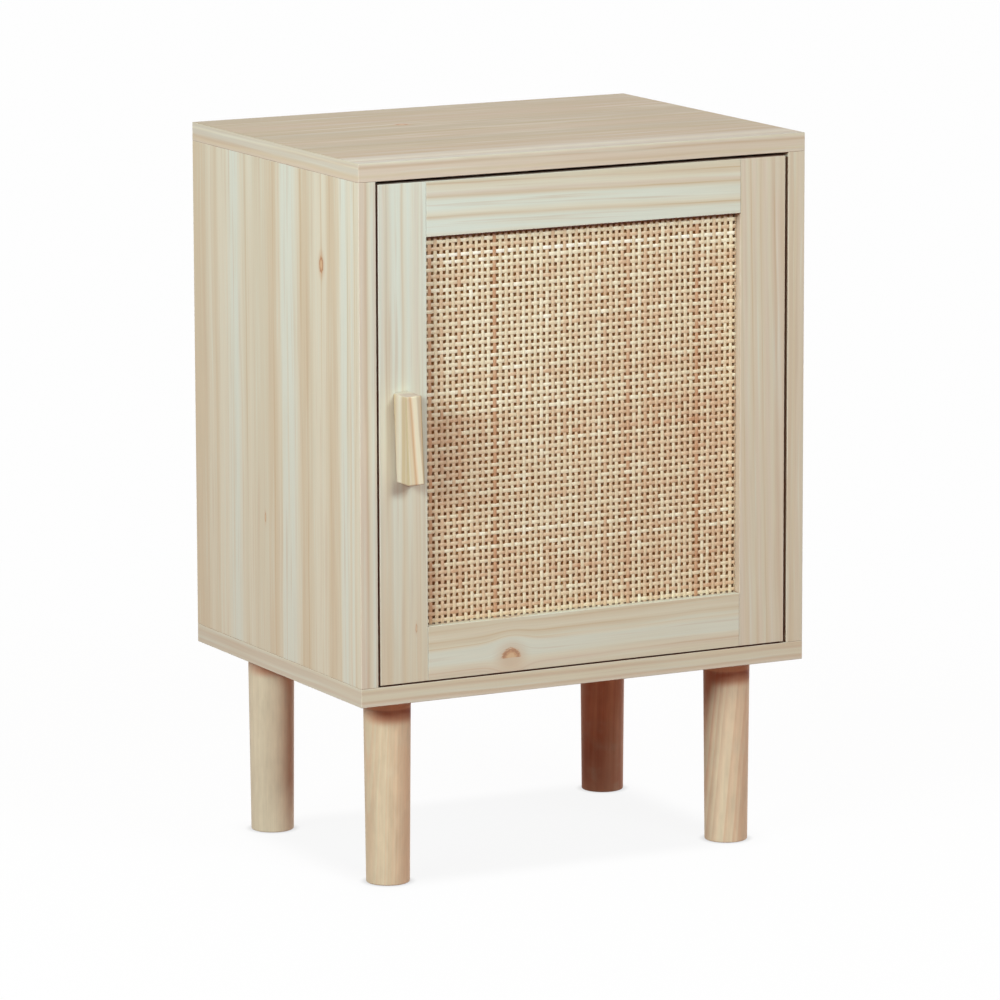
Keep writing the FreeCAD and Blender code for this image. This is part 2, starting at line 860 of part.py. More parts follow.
def door_nodes():
    nodes = {
        "door_left_stile": door_left_stile(),
        "door_right_stile": door_right_stile(),
        "door_top_rail": door_top_rail(),
        "door_bottom_rail": door_rail(door_low),
        "door_dowels": door_rods(door_dowel_radius, 0),
        "cane_webbing": cane_webbing(),
        "cane_retaining_strips": cane_retaining_strips(),
        "door_backing_panel": door_backing_panel(),
        "backing_pins": backing_pins(),
        "handle": handle(),
        "handle_screws": screws_at(handle_screw_places(), -BACKWARD, handle_screw_size()),
        "hinge_pins": hinge_pins(),
        "hinge_cup_screws": screws_at(flange_screw_places(), -BACKWARD, hinge_screw_size()),
        "strike_plate": strike_plate(),
        "strike_screws": screws_at(strike_screw_places(), -BACKWARD, catch_screw_size()),
    }
    for level, z in hinge_heights.items():
        nodes[level + "_hinge_cup"] = hinge_cup(z)
    return nodes


def write_node(name, shape):
    """Write one node; a group of like pieces stays a compound of separate solids."""
    if isinstance(shape, list):
        shape = Part.makeCompound(shape)
    shape.exportStep("parts/" + name + ".step")


os.makedirs("parts", exist_ok=True)
for node_name, node_shape in {**cabinet_nodes(), **door_nodes()}.items():
    write_node(node_name, node_shape)
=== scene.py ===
import json
import math
import random

import bpy
from mathutils import Matrix, Vector


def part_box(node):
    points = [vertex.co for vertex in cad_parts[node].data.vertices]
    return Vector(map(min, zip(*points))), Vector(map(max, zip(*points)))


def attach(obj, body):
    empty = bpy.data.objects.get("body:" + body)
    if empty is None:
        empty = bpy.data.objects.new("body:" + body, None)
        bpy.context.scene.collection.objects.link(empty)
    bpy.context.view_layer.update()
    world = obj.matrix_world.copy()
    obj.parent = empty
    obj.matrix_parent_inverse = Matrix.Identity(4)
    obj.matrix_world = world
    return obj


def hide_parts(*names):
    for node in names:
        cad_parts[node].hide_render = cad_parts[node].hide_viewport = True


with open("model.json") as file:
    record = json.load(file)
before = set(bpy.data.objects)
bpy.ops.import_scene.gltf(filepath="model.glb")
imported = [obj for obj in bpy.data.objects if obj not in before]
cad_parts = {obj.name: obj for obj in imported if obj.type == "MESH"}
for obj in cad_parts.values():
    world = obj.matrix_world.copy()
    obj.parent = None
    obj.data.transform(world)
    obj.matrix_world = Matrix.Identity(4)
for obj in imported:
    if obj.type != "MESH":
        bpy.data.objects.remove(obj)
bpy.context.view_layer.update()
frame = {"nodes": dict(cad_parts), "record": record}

# The looks of a small side cabinet: pale streaky boards, a door of woven open cane,
# a block handle and turned pine legs. Everything is in metres, in the frame's axes.

MM = 0.001
X, Y, Z = 0, 1, 2

# ------------------------------------------------------------------ camera
# Matched to the photograph; the yaw turns to the right and the pitch looks down
FRAME_PIXELS = 1000
FOCAL_PIXELS = 6588.0
SENSOR_MM = 36.0
CAMERA_PLACE = Vector((-2.4627, -4.6551, 1.2433))
CAMERA_YAW = math.radians(27.851)
CAMERA_PITCH = math.radians(10.369)
CAMERA_ROLL = math.radians(-0.162)

# ------------------------------------------------------------------ light
# A level of 1 renders a white surface that faces the lamp as white.
LAMP_DISTANCE = 3.0
LAMP_TARGET = Vector((0.0, 0.0, 0.33))
LAMPS = {
    # name: (azimuth, elevation, width, height, level, colour); azimuth 0 is the door's side, 90 its right
    "key": (11.0, 28.0, 0.9, 0.8, 0.6, (0.82, 0.97, 0.99)),
    "left_fill": (-68.0, 22.0, 1.8, 0.7, 0.97, (0.85, 0.99, 0.99)),
    "back_fill": (156.0, 12.0, 1.6, 1.0, 0.45, (1.0, 0.96, 0.92)),
    "right_fill": (122.0, 3.0, 1.4, 0.6, 0.36, (0.93, 1.0, 1.0)),
}
# Light from all round, and the colour that the floor throws back
AMBIENT = (0.2, 0.085, 0.07)
FLOOR_BOUNCE = (0.27, 0.095, 0.07)
BACKGROUND_LEVEL = 0.99
# The floor close to the object glows, and a dull part of it takes the object's shadow
FLOOR_GLOW = 0.965
FLOOR_DULL = (0.03, 0.03, 0.03, 1.0)
BODY_SHADE = 0.055
BODY_SHADE_SOFTNESS = 22.0 * MM
FOOT_SHADE = 0.3
FOOT_SHADE_REACH = 5.0 * MM
# How far from the middle the floor starts to become the background, and has become it
FLOOR_FADE = (0.55, 1.3)
FLOOR_SIZE = 40.0

# ------------------------------------------------------------------ colours
TONES = {
    "mint": (214, 220, 208),
    "cream": (217, 212, 192),
    "beige": (210, 203, 181),
    "shaded": (193, 171, 153),
    "tan": (207, 193, 167),
    "rose": (211, 197, 179),
    "grey": (205, 199, 183),
    # Darker copies of the laminate: painted shade on the top panel, and a darker rose also on the right
    # side panel
    "top_shade": (181, 165, 131),
    "dark_rose_and_top_shade": (188, 170, 141),
    "top_shade_grey": (180, 167, 138),
    "dim": (197, 186, 170),
    # painted shade in narrow gaps and crevices
    "crevice_shade": (124, 50, 26),
    "line": (197, 176, 152),
    "plain": (255, 255, 255),
    "ring": (238, 222, 202),
    "knot": (192, 144, 106),
    "knot_pale": (209, 175, 137),
    "knot_rim": (162, 112, 82),
    "knot_halo": (200, 168, 138),
    "pine": (223, 208, 175),
    "pine_cream": (231, 222, 194),
    "pine_pale": (205, 194, 174),
    "pine_peach": (232, 213, 182),
    "pine_late": (212, 175, 136),
    "pine_tan": (200, 176, 144),
    "pine_olive": (194, 178, 146),
    "pine_end": (204, 189, 173),
    # a darker pine, painted as shade on rounded edges
    "pine_edge_shade": (186, 171, 138),
    "pine_mint": (209, 203, 184),
    "turned": (200, 183, 154),
    "turned_pale": (209, 195, 166),
    "turned_late": (204, 165, 134),
    "turned_warm": (224, 204, 174),
    # a paler tone, painted light on a leg's side
    "turned_side_light": (250, 232, 200),
    "turned_grey": (211, 199, 173),
    "turned_peach": (234, 198, 162),
    "turned_red": (204, 152, 120),
    "leg_shade": (182, 116, 84),
    # painted light on a leg's top, and painted red shade at a foot
    "leg_top_light": (250, 228, 192),
    "painted_foot_shade": (166, 104, 78),
    "cane_glint": (250, 243, 226),
    "cane_cream": (239, 229, 201),
    "cane_straw": (226, 209, 176),
    "cane_peach": (217, 188, 154),
    "cane_rust": (194, 148, 112),
    "cane_shade": (112, 52, 36),
    "hardboard": (230, 194, 140),
    "hardboard_dark": (194, 154, 106),
    "beech": (206, 172, 128),
    "beech_dark": (182, 142, 100),
}


def linear(channel):
    """Turn one 0 to 255 display value into linear light."""
    share = channel / 255
    if share <= 0.04045:
        return share / 12.92
    return ((share + 0.055) / 1.055) ** 2.4


def tone(name):
    return (*(linear(channel) for channel in TONES[name]), 1.0)


# ------------------------------------------------------------------ shader nodes
class Shader:
    """Adds and links the nodes of one material or world."""

    def __init__(self, owner):
        owner.use_nodes = True
        self.owner = owner
        self.tree = owner.node_tree
        self.tree.nodes.clear()

    def feed(self, socket, value):
        """Link value to socket if it is an output, and otherwise set it there."""
        if isinstance(value, bpy.types.NodeSocket):
            self.tree.links.new(value, socket)
        else:
            socket.default_value = value

    def add(self, kind, sockets=None, **settings):
        node = self.tree.nodes.new("ShaderNode" + kind)
        for name, value in settings.items():
            setattr(node, name, value)
        for name, value in (sockets or {}).items():
            self.feed(node.inputs[name], value)
        return node

    def math(self, operation, *values):
        node = self.add("Math", operation=operation)
        for socket, value in zip(node.inputs, values):
            self.feed(socket, value)
        return node.outputs[0]

    def plus(self, a, b):
        return self.math("ADD", a, b)

    def minus(self, a, b):
        return self.math("SUBTRACT", a, b)

    def times(self, a, b):
        return self.math("MULTIPLY", a, b)

    def off(self, value, middle):
        """Return how far value is from middle."""
        return self.math("ABSOLUTE", self.minus(value, middle))

    def steps(self, value, start, step):
        """Return how many steps value is past start."""
        return self.math("DIVIDE", self.minus(value, start), step)

    def square_sum(self, a, b):
        """Return the sum of two squares."""
        return self.plus(self.times(a, a), self.times(b, b))

    def length(self, a, b):
        """Return the length of a line that goes a one way and b across it."""
        return self.math("SQRT", self.square_sum(a, b))

    def hump(self, square):
        """Return 1 where square is 0, falling off round that place as a bell does."""
        return self.math("EXPONENT", self.times(square, -1.0))

    def fade(self, value, low, high):
        """Return 0 where value is low, 1 where it is high, and a smooth step between."""
        limits = {"Value": value, "From Min": low, "From Max": high}
        return self.add("MapRange", limits, interpolation_type="SMOOTHSTEP").outputs[0]

    def spread(self, value, low, high):
        """Stretch a value from 0 to 1 so that it runs from low to high."""
        return self.add("MapRange", {"Value": value, "To Min": low, "To Max": high}).outputs[0]

    def vector(self, x, y, z):
        return self.add("CombineXYZ", {"X": x, "Y": y, "Z": z}).outputs[0]

    def noise(self, x, y, z=0.0, detail=2.0):
        sockets = {"Vector": self.vector(x, y, z), "Scale": 1.0, "Detail": detail}
        return self.add("TexNoise", sockets).outputs["Fac"]

    def even_noise(self, places, frequency, detail=2.0):
        """Return noise that is equally coarse in all directions."""
        return self.noise(*(self.times(place, frequency) for place in places), detail=detail)

    def ramp(self, value, stops):
        """Return the colour at value, between stops of (place from 0 to 1, tone name)."""
        node = self.add("ValToRGB", {"Fac": value})
        elements = node.color_ramp.elements
        while len(elements) < len(stops):
            elements.new(1.0)
        for element, (place, name) in zip(elements, stops):
            element.position = place
            element.color = tone(name)
        return node.outputs["Color"]

    def mix(self, share, first, second, blend="MIX"):
        node = self.add("Mix", data_type="RGBA", blend_type=blend)
        self.feed(node.inputs["Factor"], share)
        self.feed(node.inputs[6], first)
        self.feed(node.inputs[7], second)
        return node.outputs[2]

    def blend(self, share, first, second):
        """Return first where share is 0 and second where it is 1, for plain values."""
        return self.add("Mix", {"Factor": share, "A": first, "B": second}).outputs[0]

    def shade(self, colour, level):
        """Multiply a colour by a grey level."""
        return self.mix(1.0, colour, self.vector(level, level, level), "MULTIPLY")

    def object_axes(self):
        """Return the piece's own coordinates and the size of its surface's direction, by axis."""
        coordinates = self.add("TexCoord")
        places = self.add("SeparateXYZ", {"Vector": coordinates.outputs["Object"]})
        facing = self.add("SeparateXYZ", {"Vector": coordinates.outputs["Normal"]})
        sizes = [self.math("ABSOLUTE", output) for output in facing.outputs]
        return list(places.outputs), sizes

    def bump(self, height, depth):
        """Return a surface direction disturbed by a height from 0 to 1 that is depth metres deep."""
        return self.add("Bump", {"Height": height, "Distance": depth}).outputs[0]

    def crevice_shade(self, reach):
        """Return the share of painted shade: 0 on open surfaces and up to 1 in gaps that are narrower than
        reach.
        """
        around = self.add("AmbientOcclusion", {"Distance": reach}, samples=CREVICE_SHADE_SAMPLES)
        return self.fade(around.outputs["AO"], *CREVICE_SHADE_OPENNESS)

    def surface(self, colour, roughness, normal, **sockets):
        """Finish a material; a constant goes straight to the shader's own socket."""
        shader = self.add("BsdfPrincipled", {"Base Color": colour, "Roughness": roughness})
        if normal is not None:
            self.feed(shader.inputs["Normal"], normal)
        for name, value in sockets.items():
            shader.inputs[name.replace("_", " ")].default_value = value
        self.finish(shader.outputs[0])

    def finish(self, output, kind="OutputMaterial"):
        end = self.add(kind)
        self.tree.links.new(output, end.inputs["Surface"])


def new_material(name):
    return Shader(bpy.data.materials.new(name))


def dress(names, shader):
    """Give CAD nodes a finish."""
    for name in names:
        slots = frame["nodes"][name].data.materials
        slots.clear()
        slots.append(shader.owner)


# ------------------------------------------------------------------ streaky boards
# Frequencies of the grain in waves per metre, along and across it
SWAY = (3.5, 18.0)
RIPPLE = (14.0, 75.0)
RING_BREAKS = (5.0, 60.0)
FIBRES = (14.0, 1500.0)
# How far the sway and the ripple move the streaks
SWAY_REACH = 4.4 * MM
RIPPLE_REACH = 1.3 * MM
# Noise levels between which two tones change over, and between which thin rings come in
CHANGE_LEVELS = (0.3, 0.7)
RING_LEVELS = (0.3, 0.65)
GRAIN_TINTS = (
    # (frequencies, seed step, detail, noise levels where it starts and is full, share, tone)
    ((7.0, 60.0), 3.0, 2.0, 0.5, 0.8, 0.5, "beige"),
    ((3.0, 125.0), 5.0, 2.0, 0.56, 0.72, 0.4, "tan"),
    ((6.0, 300.0), 7.0, 3.0, 0.52, 0.75, 0.5, "line"),
    ((6.0, 300.0), 7.0, 3.0, 0.48, 0.25, 0.35, "mint"),
)
# A surface faces an axis where its direction has more than this share along it
FACE_LIMIT = 0.75
CORNER_FACING = (0.1, 0.4)
# Pale mint along a block's edges: rubbed wear and a painted highlight on the rounded edges
WEAR_AND_HIGHLIGHT_WIDTH = 0.9 * MM
WEAR_AND_HIGHLIGHT_FREQUENCY = 90.0
WEAR_AND_HIGHLIGHT_LEVELS = (0.35, 0.7)
# Painted shade that darkens narrow gaps and crevices
CREVICE_SHADE_REACH = 4.0 * MM
CREVICE_SHADE_SHARE = 0.85
CREVICE_SHADE_SAMPLES = 8
# How open a point is where the painted shade of a crevice starts and where it is full
CREVICE_SHADE_OPENNESS = (0.64, 0.3)
BOARD_SHADES = (0.94, 1.06)
BOARD_ROUGHNESS = (0.55, 0.7)
WORN_ROUGHNESS = 0.1
BOARD_RELIEF = 0.04 * MM
BOARD_GLOSS = 0.06
# A knot's halo, the bend of the grain round it, and the width and length of its trace, in knot sizes
KNOT_HALO = 2.4
KNOT_BEND = 1.9
KNOT_TRACE = (0.3, 2.8)
# Where the knot, its halo and its trace start and are full, in their own sizes, and their shares
KNOT_RIM = (1.15, 0.9)
KNOT_HALO_RIM = (1.0, 0.2)
KNOT_TRACE_RIM = (1.0, 0.3)
KNOT_HALO_SHARE = 0.7
KNOT_TRACE_SHARE = 0.6
KNOT_FLAWS = (500.0, 900.0)
KNOT_FLAW_REACH = 0.7
KNOT_CUT_SOFTNESS = 0.4 * MM
KNOT_STOPS = ((0.0, "knot_pale"), (0.4, "knot_pale"), (0.62, "knot"), (0.82, "knot_rim"), (1.0, "knot"))
RANDOM_TONES = ("mint", "cream", "beige", "tan", "rose", "grey", "beige", "cream")
# The narrowest and widest random streak as shares of a board's width, of a board at least so wide
RANDOM_STREAK = (0.02, 0.07)
RANDOM_BOARD = 60.0
MOST_STREAKS = 30


def random_streaks(width, seed):
    """Return streaks of uneven width across a board that no picture shows."""
    chance = random.Random(seed)
    streaks = []
    place = 0.0
    while place < width and len(streaks) < MOST_STREAKS:
        streaks.append((place, chance.choice(RANDOM_TONES)))
        place += chance.uniform(*RANDOM_STREAK) * max(width, RANDOM_BOARD)
    return streaks


def edge_distance(shader, places, low, high):
    """Return how far a point on a block's surface is from the nearest edge of that block."""
    depths = []
    for axis in (X, Y, Z):
        half = (high[axis] - low[axis]) / 2
        from_middle = shader.off(places[axis], (high[axis] + low[axis]) / 2)
        depths.append(shader.minus(half, from_middle))
    first, second, third = depths
    smaller = shader.math("MINIMUM", first, second)
    larger = shader.math("MAXIMUM", first, second)
    return shader.math("MAXIMUM", smaller, shader.math("MINIMUM", larger, third))


def from_knot(shader, cross, run, place, reach):
    """Return how far a point is from a knot's middle, which is 1 at reach times the knot's size."""
    across, along, half_width, half_length = place
    sideways = shader.steps(cross, across, half_width * reach)
    lengthways = shader.steps(run, along, half_length * reach)
    return shader.length(sideways, lengthways)


def knot(shader, colour, cross, run, place, strength, cut):
    """Draw a knot at place (across, along, half width, half length), cut off below if asked."""
    in_halo = shader.fade(from_knot(shader, cross, run, place, KNOT_HALO), *KNOT_HALO_RIM)
    colour = shader.mix(shader.times(in_halo, strength * KNOT_HALO_SHARE), colour, tone("knot_halo"))
    across, along, half_width, half_length = place
    if not cut:
        trace = (across, along, half_width * KNOT_TRACE[0], half_length * KNOT_TRACE[1])
        on_trace = shader.fade(from_knot(shader, cross, run, trace, 1.0), *KNOT_TRACE_RIM)
        colour = shader.mix(shader.times(on_trace, strength * KNOT_TRACE_SHARE), colour, tone("knot"))
    flaws = shader.times(shader.minus(grain(shader, KNOT_FLAWS, run, cross), 0.5), KNOT_FLAW_REACH)
    distance = shader.plus(from_knot(shader, cross, run, place, 1.0), flaws)
    shape = shader.times(shader.fade(distance, *KNOT_RIM), strength)
    if cut:
        kept = shader.fade(cross, across - KNOT_CUT_SOFTNESS, across + KNOT_CUT_SOFTNESS)
        shape = shader.times(shape, kept)
    return shader.mix(shape, colour, shader.ramp(distance, KNOT_STOPS))


def bent_cross(shader, cross, run, place):
    """Return the coordinate across the grain, bent so that streaks part round a knot."""
    distance = from_knot(shader, cross, run, place, KNOT_BEND)
    pull = shader.hump(shader.times(distance, distance))
    return shader.minus(cross, shader.times(shader.minus(cross, place[0]), pull))


def grain(shader, frequencies, run, cross, seed=0.0, detail=2.0):
    """Return noise that is drawn out along the grain."""
    along, across = frequencies
    return shader.noise(shader.times(run, along), shader.times(cross, across), seed, detail)


def streaks_across(shader, cross, width, streaks):
    """Return the colour of streaks, given as (millimetres from the low side, tone)."""
    stops = [(place * MM / width, name) for place, name in streaks]
    return shader.ramp(shader.math("DIVIDE", cross, width), stops)


def thin_rings(shader, cross, width, half_width, rings):
    """Return a shade with a thin darker line at each of the rings, in millimetres from the low side."""
    stops = []
    for place in rings:
        stops += [(place - half_width, "plain"), (place, "ring"), (place + half_width, "plain")]
    return streaks_across(shader, cross, width, stops)


def board_wood(node, along, face, streaks, edges, ends=None, rings=(), knots=(), slope=0.0,
               washes=(), wear_and_highlight=0.3, corners=None, seed=0.0):
    """Return the finish of a board, whose grain runs along one axis.

    The broad faces, the long edges and the ends each have their own streaks, and the faces have
    thin lines, given as (half width, places). A knot is (across, along, half width, half length in
    millimetres from the low corner, strength, cut), and a wash is (tone, share at the grain's low
    end, share at its high end). corners is the tone of rounded upright edges: a darker tone painted
    as shade against the highlight they catch.
    """
    shader = new_material(node + "_wood")
    low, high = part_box(node)
    width_axis = X + Y + Z - along - face
    width = high[width_axis] - low[width_axis]
    thickness = high[face] - low[face]
    places, facing = shader.object_axes()
    from_low = [shader.minus(places[axis], low[axis]) for axis in (X, Y, Z)]
    on_face = shader.math("GREATER_THAN", facing[face], FACE_LIMIT)
    on_end = shader.math("GREATER_THAN", facing[along], FACE_LIMIT)
    run = shader.blend(on_end, from_low[along], from_low[width_axis])
    cross = shader.blend(on_face, from_low[face], from_low[width_axis])

    knot_places = [([value * MM for value in size], strength, cut) for *size, strength, cut in knots]
    bent = cross
    for place, _, _ in knot_places:
        bent = bent_cross(shader, bent, run, place)
    sway = shader.minus(grain(shader, SWAY, run, cross, seed), 0.5)
    ripple = shader.minus(grain(shader, RIPPLE, run, cross, seed + 1.0), 0.5)
    drift = shader.plus(shader.times(sway, SWAY_REACH), shader.times(ripple, RIPPLE_REACH))
    moved = shader.plus(shader.plus(bent, drift), shader.times(run, slope))
    reach = max(0.0, slope) * (high[along] - low[along])

    on_edges = shader.mix(on_end, streaks_across(shader, moved, thickness + reach, edges),
                          streaks_across(shader, moved, thickness + reach, ends or edges))
    on_faces = streaks_across(shader, moved, width + reach, streaks)
    if rings:
        broken = shader.fade(grain(shader, RING_BREAKS, run, moved, seed + 9.0), *RING_LEVELS)
        lines = thin_rings(shader, moved, width + reach, *rings)
        on_faces = shader.mix(broken, on_faces, lines, "MULTIPLY")
    colour = shader.mix(on_face, on_edges, on_faces)
    progress = shader.math("DIVIDE", from_low[along], high[along] - low[along])
    for name, share_low, share_high in washes:
        colour = shader.mix(shader.spread(progress, share_low, share_high), colour, tone(name))
    for frequencies, step, detail, start, full, share, name in GRAIN_TINTS:
        tint = shader.fade(grain(shader, frequencies, run, moved, seed + step, detail), start, full)
        colour = shader.mix(shader.times(tint, share), colour, tone(name))
    for place, strength, cut in knot_places:
        colour = knot(shader, colour, cross, run, place, strength, cut)
    fibres = grain(shader, FIBRES, run, moved, seed, detail=1.0)
    colour = shader.shade(colour, shader.spread(fibres, *BOARD_SHADES))

    # Mint along the edges, partly rubbed wear and partly a painted highlight
    edge = shader.fade(edge_distance(shader, places, low, high), WEAR_AND_HIGHLIGHT_WIDTH, 0.0)
    worn_and_highlit = shader.times(edge, shader.fade(shader.even_noise(places, WEAR_AND_HIGHLIGHT_FREQUENCY), *WEAR_AND_HIGHLIGHT_LEVELS))
    colour = shader.mix(shader.times(worn_and_highlit, wear_and_highlight), colour, tone("mint"))
    # Painted shade: a darker tone on rounded upright edges, against the highlight they catch
    if corners:
        rounded = shader.fade(shader.times(facing[X], facing[Y]), *CORNER_FACING)
        colour = shader.mix(rounded, colour, tone(corners))
    # Painted shade: darker in narrow gaps and crevices
    colour = shader.mix(shader.times(shader.crevice_shade(CREVICE_SHADE_REACH), CREVICE_SHADE_SHARE), colour, tone("crevice_shade"))
    roughness = shader.plus(shader.spread(fibres, *BOARD_ROUGHNESS), shader.times(worn_and_highlit, WORN_ROUGHNESS))
    shader.surface(colour, roughness, shader.bump(fibres, BOARD_RELIEF), Specular_IOR_Level=BOARD_GLOSS)
    return shader


SEED_STEP = 11.0
SHOWN_BOARDS = {
    # The top panel's darker tones and its wash paint shade on the same laminate as the other boards
    "top_panel": {
        "along": X, "face": Z,
        "streaks": [
            (0, "grey"), (8, "grey"), (18, "cream"), (28, "grey"), (38, "dark_rose_and_top_shade"), (48, "dark_rose_and_top_shade"),
            (60, "dark_rose_and_top_shade"), (82, "top_shade"), (104, "top_shade_grey"), (130, "dark_rose_and_top_shade"), (150, "top_shade"),
            (178, "top_shade_grey"), (205, "top_shade"), (230, "dark_rose_and_top_shade"), (262, "top_shade"), (300, "top_shade_grey")],
        "edges": [
            (0, "rose"), (2, "rose"), (4, "tan"), (6, "rose"), (9, "rose"), (10.8, "line"),
            (12.4, "rose"), (14, "cream"), (15, "cream")],
        "ends": [
            (0, "rose"), (3.5, "tan"), (6.5, "grey"), (9.5, "grey"), (11, "cream"), (12.5, "grey"),
            (15, "beige")],
        "rings": (1.5, (12, 27, 41, 58, 76, 97, 121, 148, 190, 236)),
        "knots": [(202, 141, 4.6, 5, 0.6, False)], "washes": [("dark_rose_and_top_shade", 0.0, 0.25)], "wear_and_highlight": 0.1,
    },
    "bottom_panel": {
        "along": X, "face": Z,
        "streaks": [(0, "beige"), (60, "tan"), (120, "rose"), (190, "beige"), (300, "tan")],
        "edges": [
            (0, "grey"), (1.5, "rose"), (3.7, "line"), (5.6, "beige"), (9, "beige"), (11.2, "line"),
            (13, "tan"), (15, "tan")],
        "ends": [
            (0, "grey"), (3, "dim"), (6.2, "grey"), (8.5, "dim"), (11, "dim"), (13.7, "grey"),
            (15, "beige")],
        "washes": [("tan", 0.3, 0.3)],
    },
    "left_side_panel": {
        "along": Z, "face": X, "washes": [("beige", 0.1, 0.1), ("line", 0.22, 0.02)],
        "streaks": [
            (0, "cream"), (8, "cream"), (12, "mint"), (16, "cream"), (22, "mint"), (30, "mint"),
            (35, "cream"), (42, "tan"), (54, "tan"), (59, "cream"), (76, "cream"), (84, "beige"),
            (90, "tan"), (103, "tan"), (108, "cream"), (118, "mint"), (136, "mint"), (141, "cream"),
            (148, "tan"), (159, "tan"), (166, "beige"), (186, "beige"), (196, "cream"), (204, "beige"),
            (210, "cream"), (219, "mint"), (228, "mint"), (238, "cream"), (252, "cream"), (258, "tan"),
            (268, "cream"), (278, "tan")],
        "rings": (1.4, (8, 20, 36, 51, 66, 92, 102, 140, 152, 202)),
        "edges": [
            (0, "rose"), (4, "rose"), (6, "line"), (7.6, "beige"), (9, "cream"), (11.5, "mint"),
            (13, "grey"), (15, "rose")],
        "knots": [(65.5, 328, 3.4, 6.4, 0.75, False), (170, 110, 1.2, 4, 0.5, False)],
    },
    "right_side_panel": {
        "along": Z, "face": X, "washes": [("tan", 0.6, 0.5)],
        "streaks": [
            (0, "cream"), (9, "mint"), (20, "mint"), (27, "rose"), (36, "line"), (48, "rose"), (58, "mint"),
            (74, "cream"), (82, "line"), (96, "tan"), (104, "mint"), (124, "mint"), (133, "rose"),
            (146, "dark_rose_and_top_shade"), (160, "tan"), (170, "cream"), (186, "mint"), (204, "mint"), (212, "tan"),
            (226, "dark_rose_and_top_shade"), (238, "cream"), (250, "mint"), (262, "rose"), (276, "line"), (288, "cream"),
            (300, "tan")],
        "rings": (1.4, (14, 31, 52, 78, 88, 118, 150, 176, 222, 266)),
        "edges": [(0, "rose"), (3.7, "line"), (6, "tan"), (9, "rose"), (12, "rose"), (15, "grey")],
        "knots": [(112, 262, 3, 5.8, 0.75, False)],
    },
    # The washes on the door's boards paint a light gradient: paler and mintier towards its upper left,
    # tanner towards its lower right.
    "door_left_stile": {
        "along": Z, "face": Y, "washes": [("tan", 0.75, 0.05), ("mint", 0.0, 0.5)],
        "streaks": [
            (0, "grey"), (2, "grey"), (3.6, "rose"), (5, "tan"), (6.8, "line"), (8.6, "tan"),
            (10.4, "grey"), (13, "mint"), (18, "mint"), (20.5, "tan"), (23, "cream"), (26, "mint"),
            (30, "cream"), (33, "rose"), (36, "cream"), (38.5, "mint"), (42, "mint")],
        "rings": (0.9, (6.5, 20.5, 32, 35, 39.5)),
        "edges": [(0, "mint"), (5, "beige"), (15, "rose")],
        "knots": [(31.6, 43, 0.9, 3.5, 0.4, False)],
    },
    "door_right_stile": {
        "along": Z, "face": Y, "slope": 0.023,
        "streaks": [
            (0, "grey"), (4, "rose"), (8, "tan"), (11, "rose"), (14.5, "beige"), (17.5, "tan"),
            (21, "rose"), (24, "beige"), (27, "tan"), (31, "rose"), (35, "beige"), (39, "line"),
            (42, "rose"), (46, "line"), (51, "tan")],
        "washes": [("tan", 0.35, 0.2), ("rose", 0.1, 0.15)],
        "rings": (0.8, (8.5, 17.5, 26.5, 40)),
        "edges": [(0, "shaded"), (24, "shaded")],
    },
    "door_top_rail": {
        "along": X, "face": Y, "slope": 0.016, "washes": [("mint", 0.2, 0.0), ("tan", 0.0, 0.25)],
        "streaks": [
            (0, "cream"), (4, "mint"), (12, "mint"), (15, "tan"), (18, "cream"), (22, "mint"), (28, "mint"),
            (31, "tan"), (34, "rose"), (37, "cream"), (42, "tan"), (46, "beige")],
        "rings": (0.8, (15.5, 31.5, 42)),
        "edges": [(0, "mint"), (5, "beige"), (15, "rose")],
    },
    "door_bottom_rail": {
        "along": X, "face": Y, "slope": -0.014, "washes": [("tan", 0.3, 0.4)],
        "streaks": [
            (0, "beige"), (4.8, "rose"), (8, "cream"), (12, "mint"), (20, "mint"), (23, "cream"),
            (26, "beige"), (29, "tan"), (32, "cream"), (37, "tan"), (43, "beige")],
        "rings": (0.8, (4.8, 23.5, 29, 38)),
        "edges": [(0, "mint"), (5, "beige"), (15, "rose")],
        "knots": [(11.2, 73.7, 7.8, 8.2, 0.8, True)],
    },
}
HIDDEN_SEED = 100.0
HIDDEN_SEED_STEP = 13.0
HIDDEN_BOARDS = {
    # name: (grain axis, axis of the thickness)
    "back_panel": (Z, Y),
    "shelf": (X, Z),
    "cane_retaining_strips": (Z, Y),
}
PLAIN_EDGE = [(0, "rose"), (4, "beige"), (7, "line"), (8, "beige"), (11, "tan"), (13, "rose"), (15, "grey")]


def dress_boards():
    """Give every board of the cabinet and door its own streaks."""
    for number, (name, looks) in enumerate(SHOWN_BOARDS.items()):
        dress([name], board_wood(name, seed=number * SEED_STEP, **looks))
    for number, (name, (along, face)) in enumerate(HIDDEN_BOARDS.items()):
        low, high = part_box(name)
        width_axis = X + Y + Z - along - face
        streaks = random_streaks((high[width_axis] - low[width_axis]) / MM, number)
        seed = HIDDEN_SEED + number * HIDDEN_SEED_STEP
        dress([name], board_wood(name, along, face, streaks, PLAIN_EDGE, seed=seed))


# ------------------------------------------------------------------ solid pine
# Frequencies of the turned wood in waves per metre, across and along a leg
WAVES = (30.0, 8.0)
MOTTLE = (200.0, 60.0)
LEG_FIBRES = (1100.0, 22.0)
WAVE_REACH = 3.0 * MM
CLOUD_FREQUENCY = 45.0
CLOUD_LEVELS = (0.5, 0.8)
CLOUD_SHARE = 0.4
MOTTLE_SHADES = (0.86, 1.14)
LEG_FIBRE_SHADES = (0.92, 1.07)
LEG_ROUGHNESS = (0.48, 0.62)
LEG_RELIEF = 0.05 * MM
LEG_GLOSS = 0.25
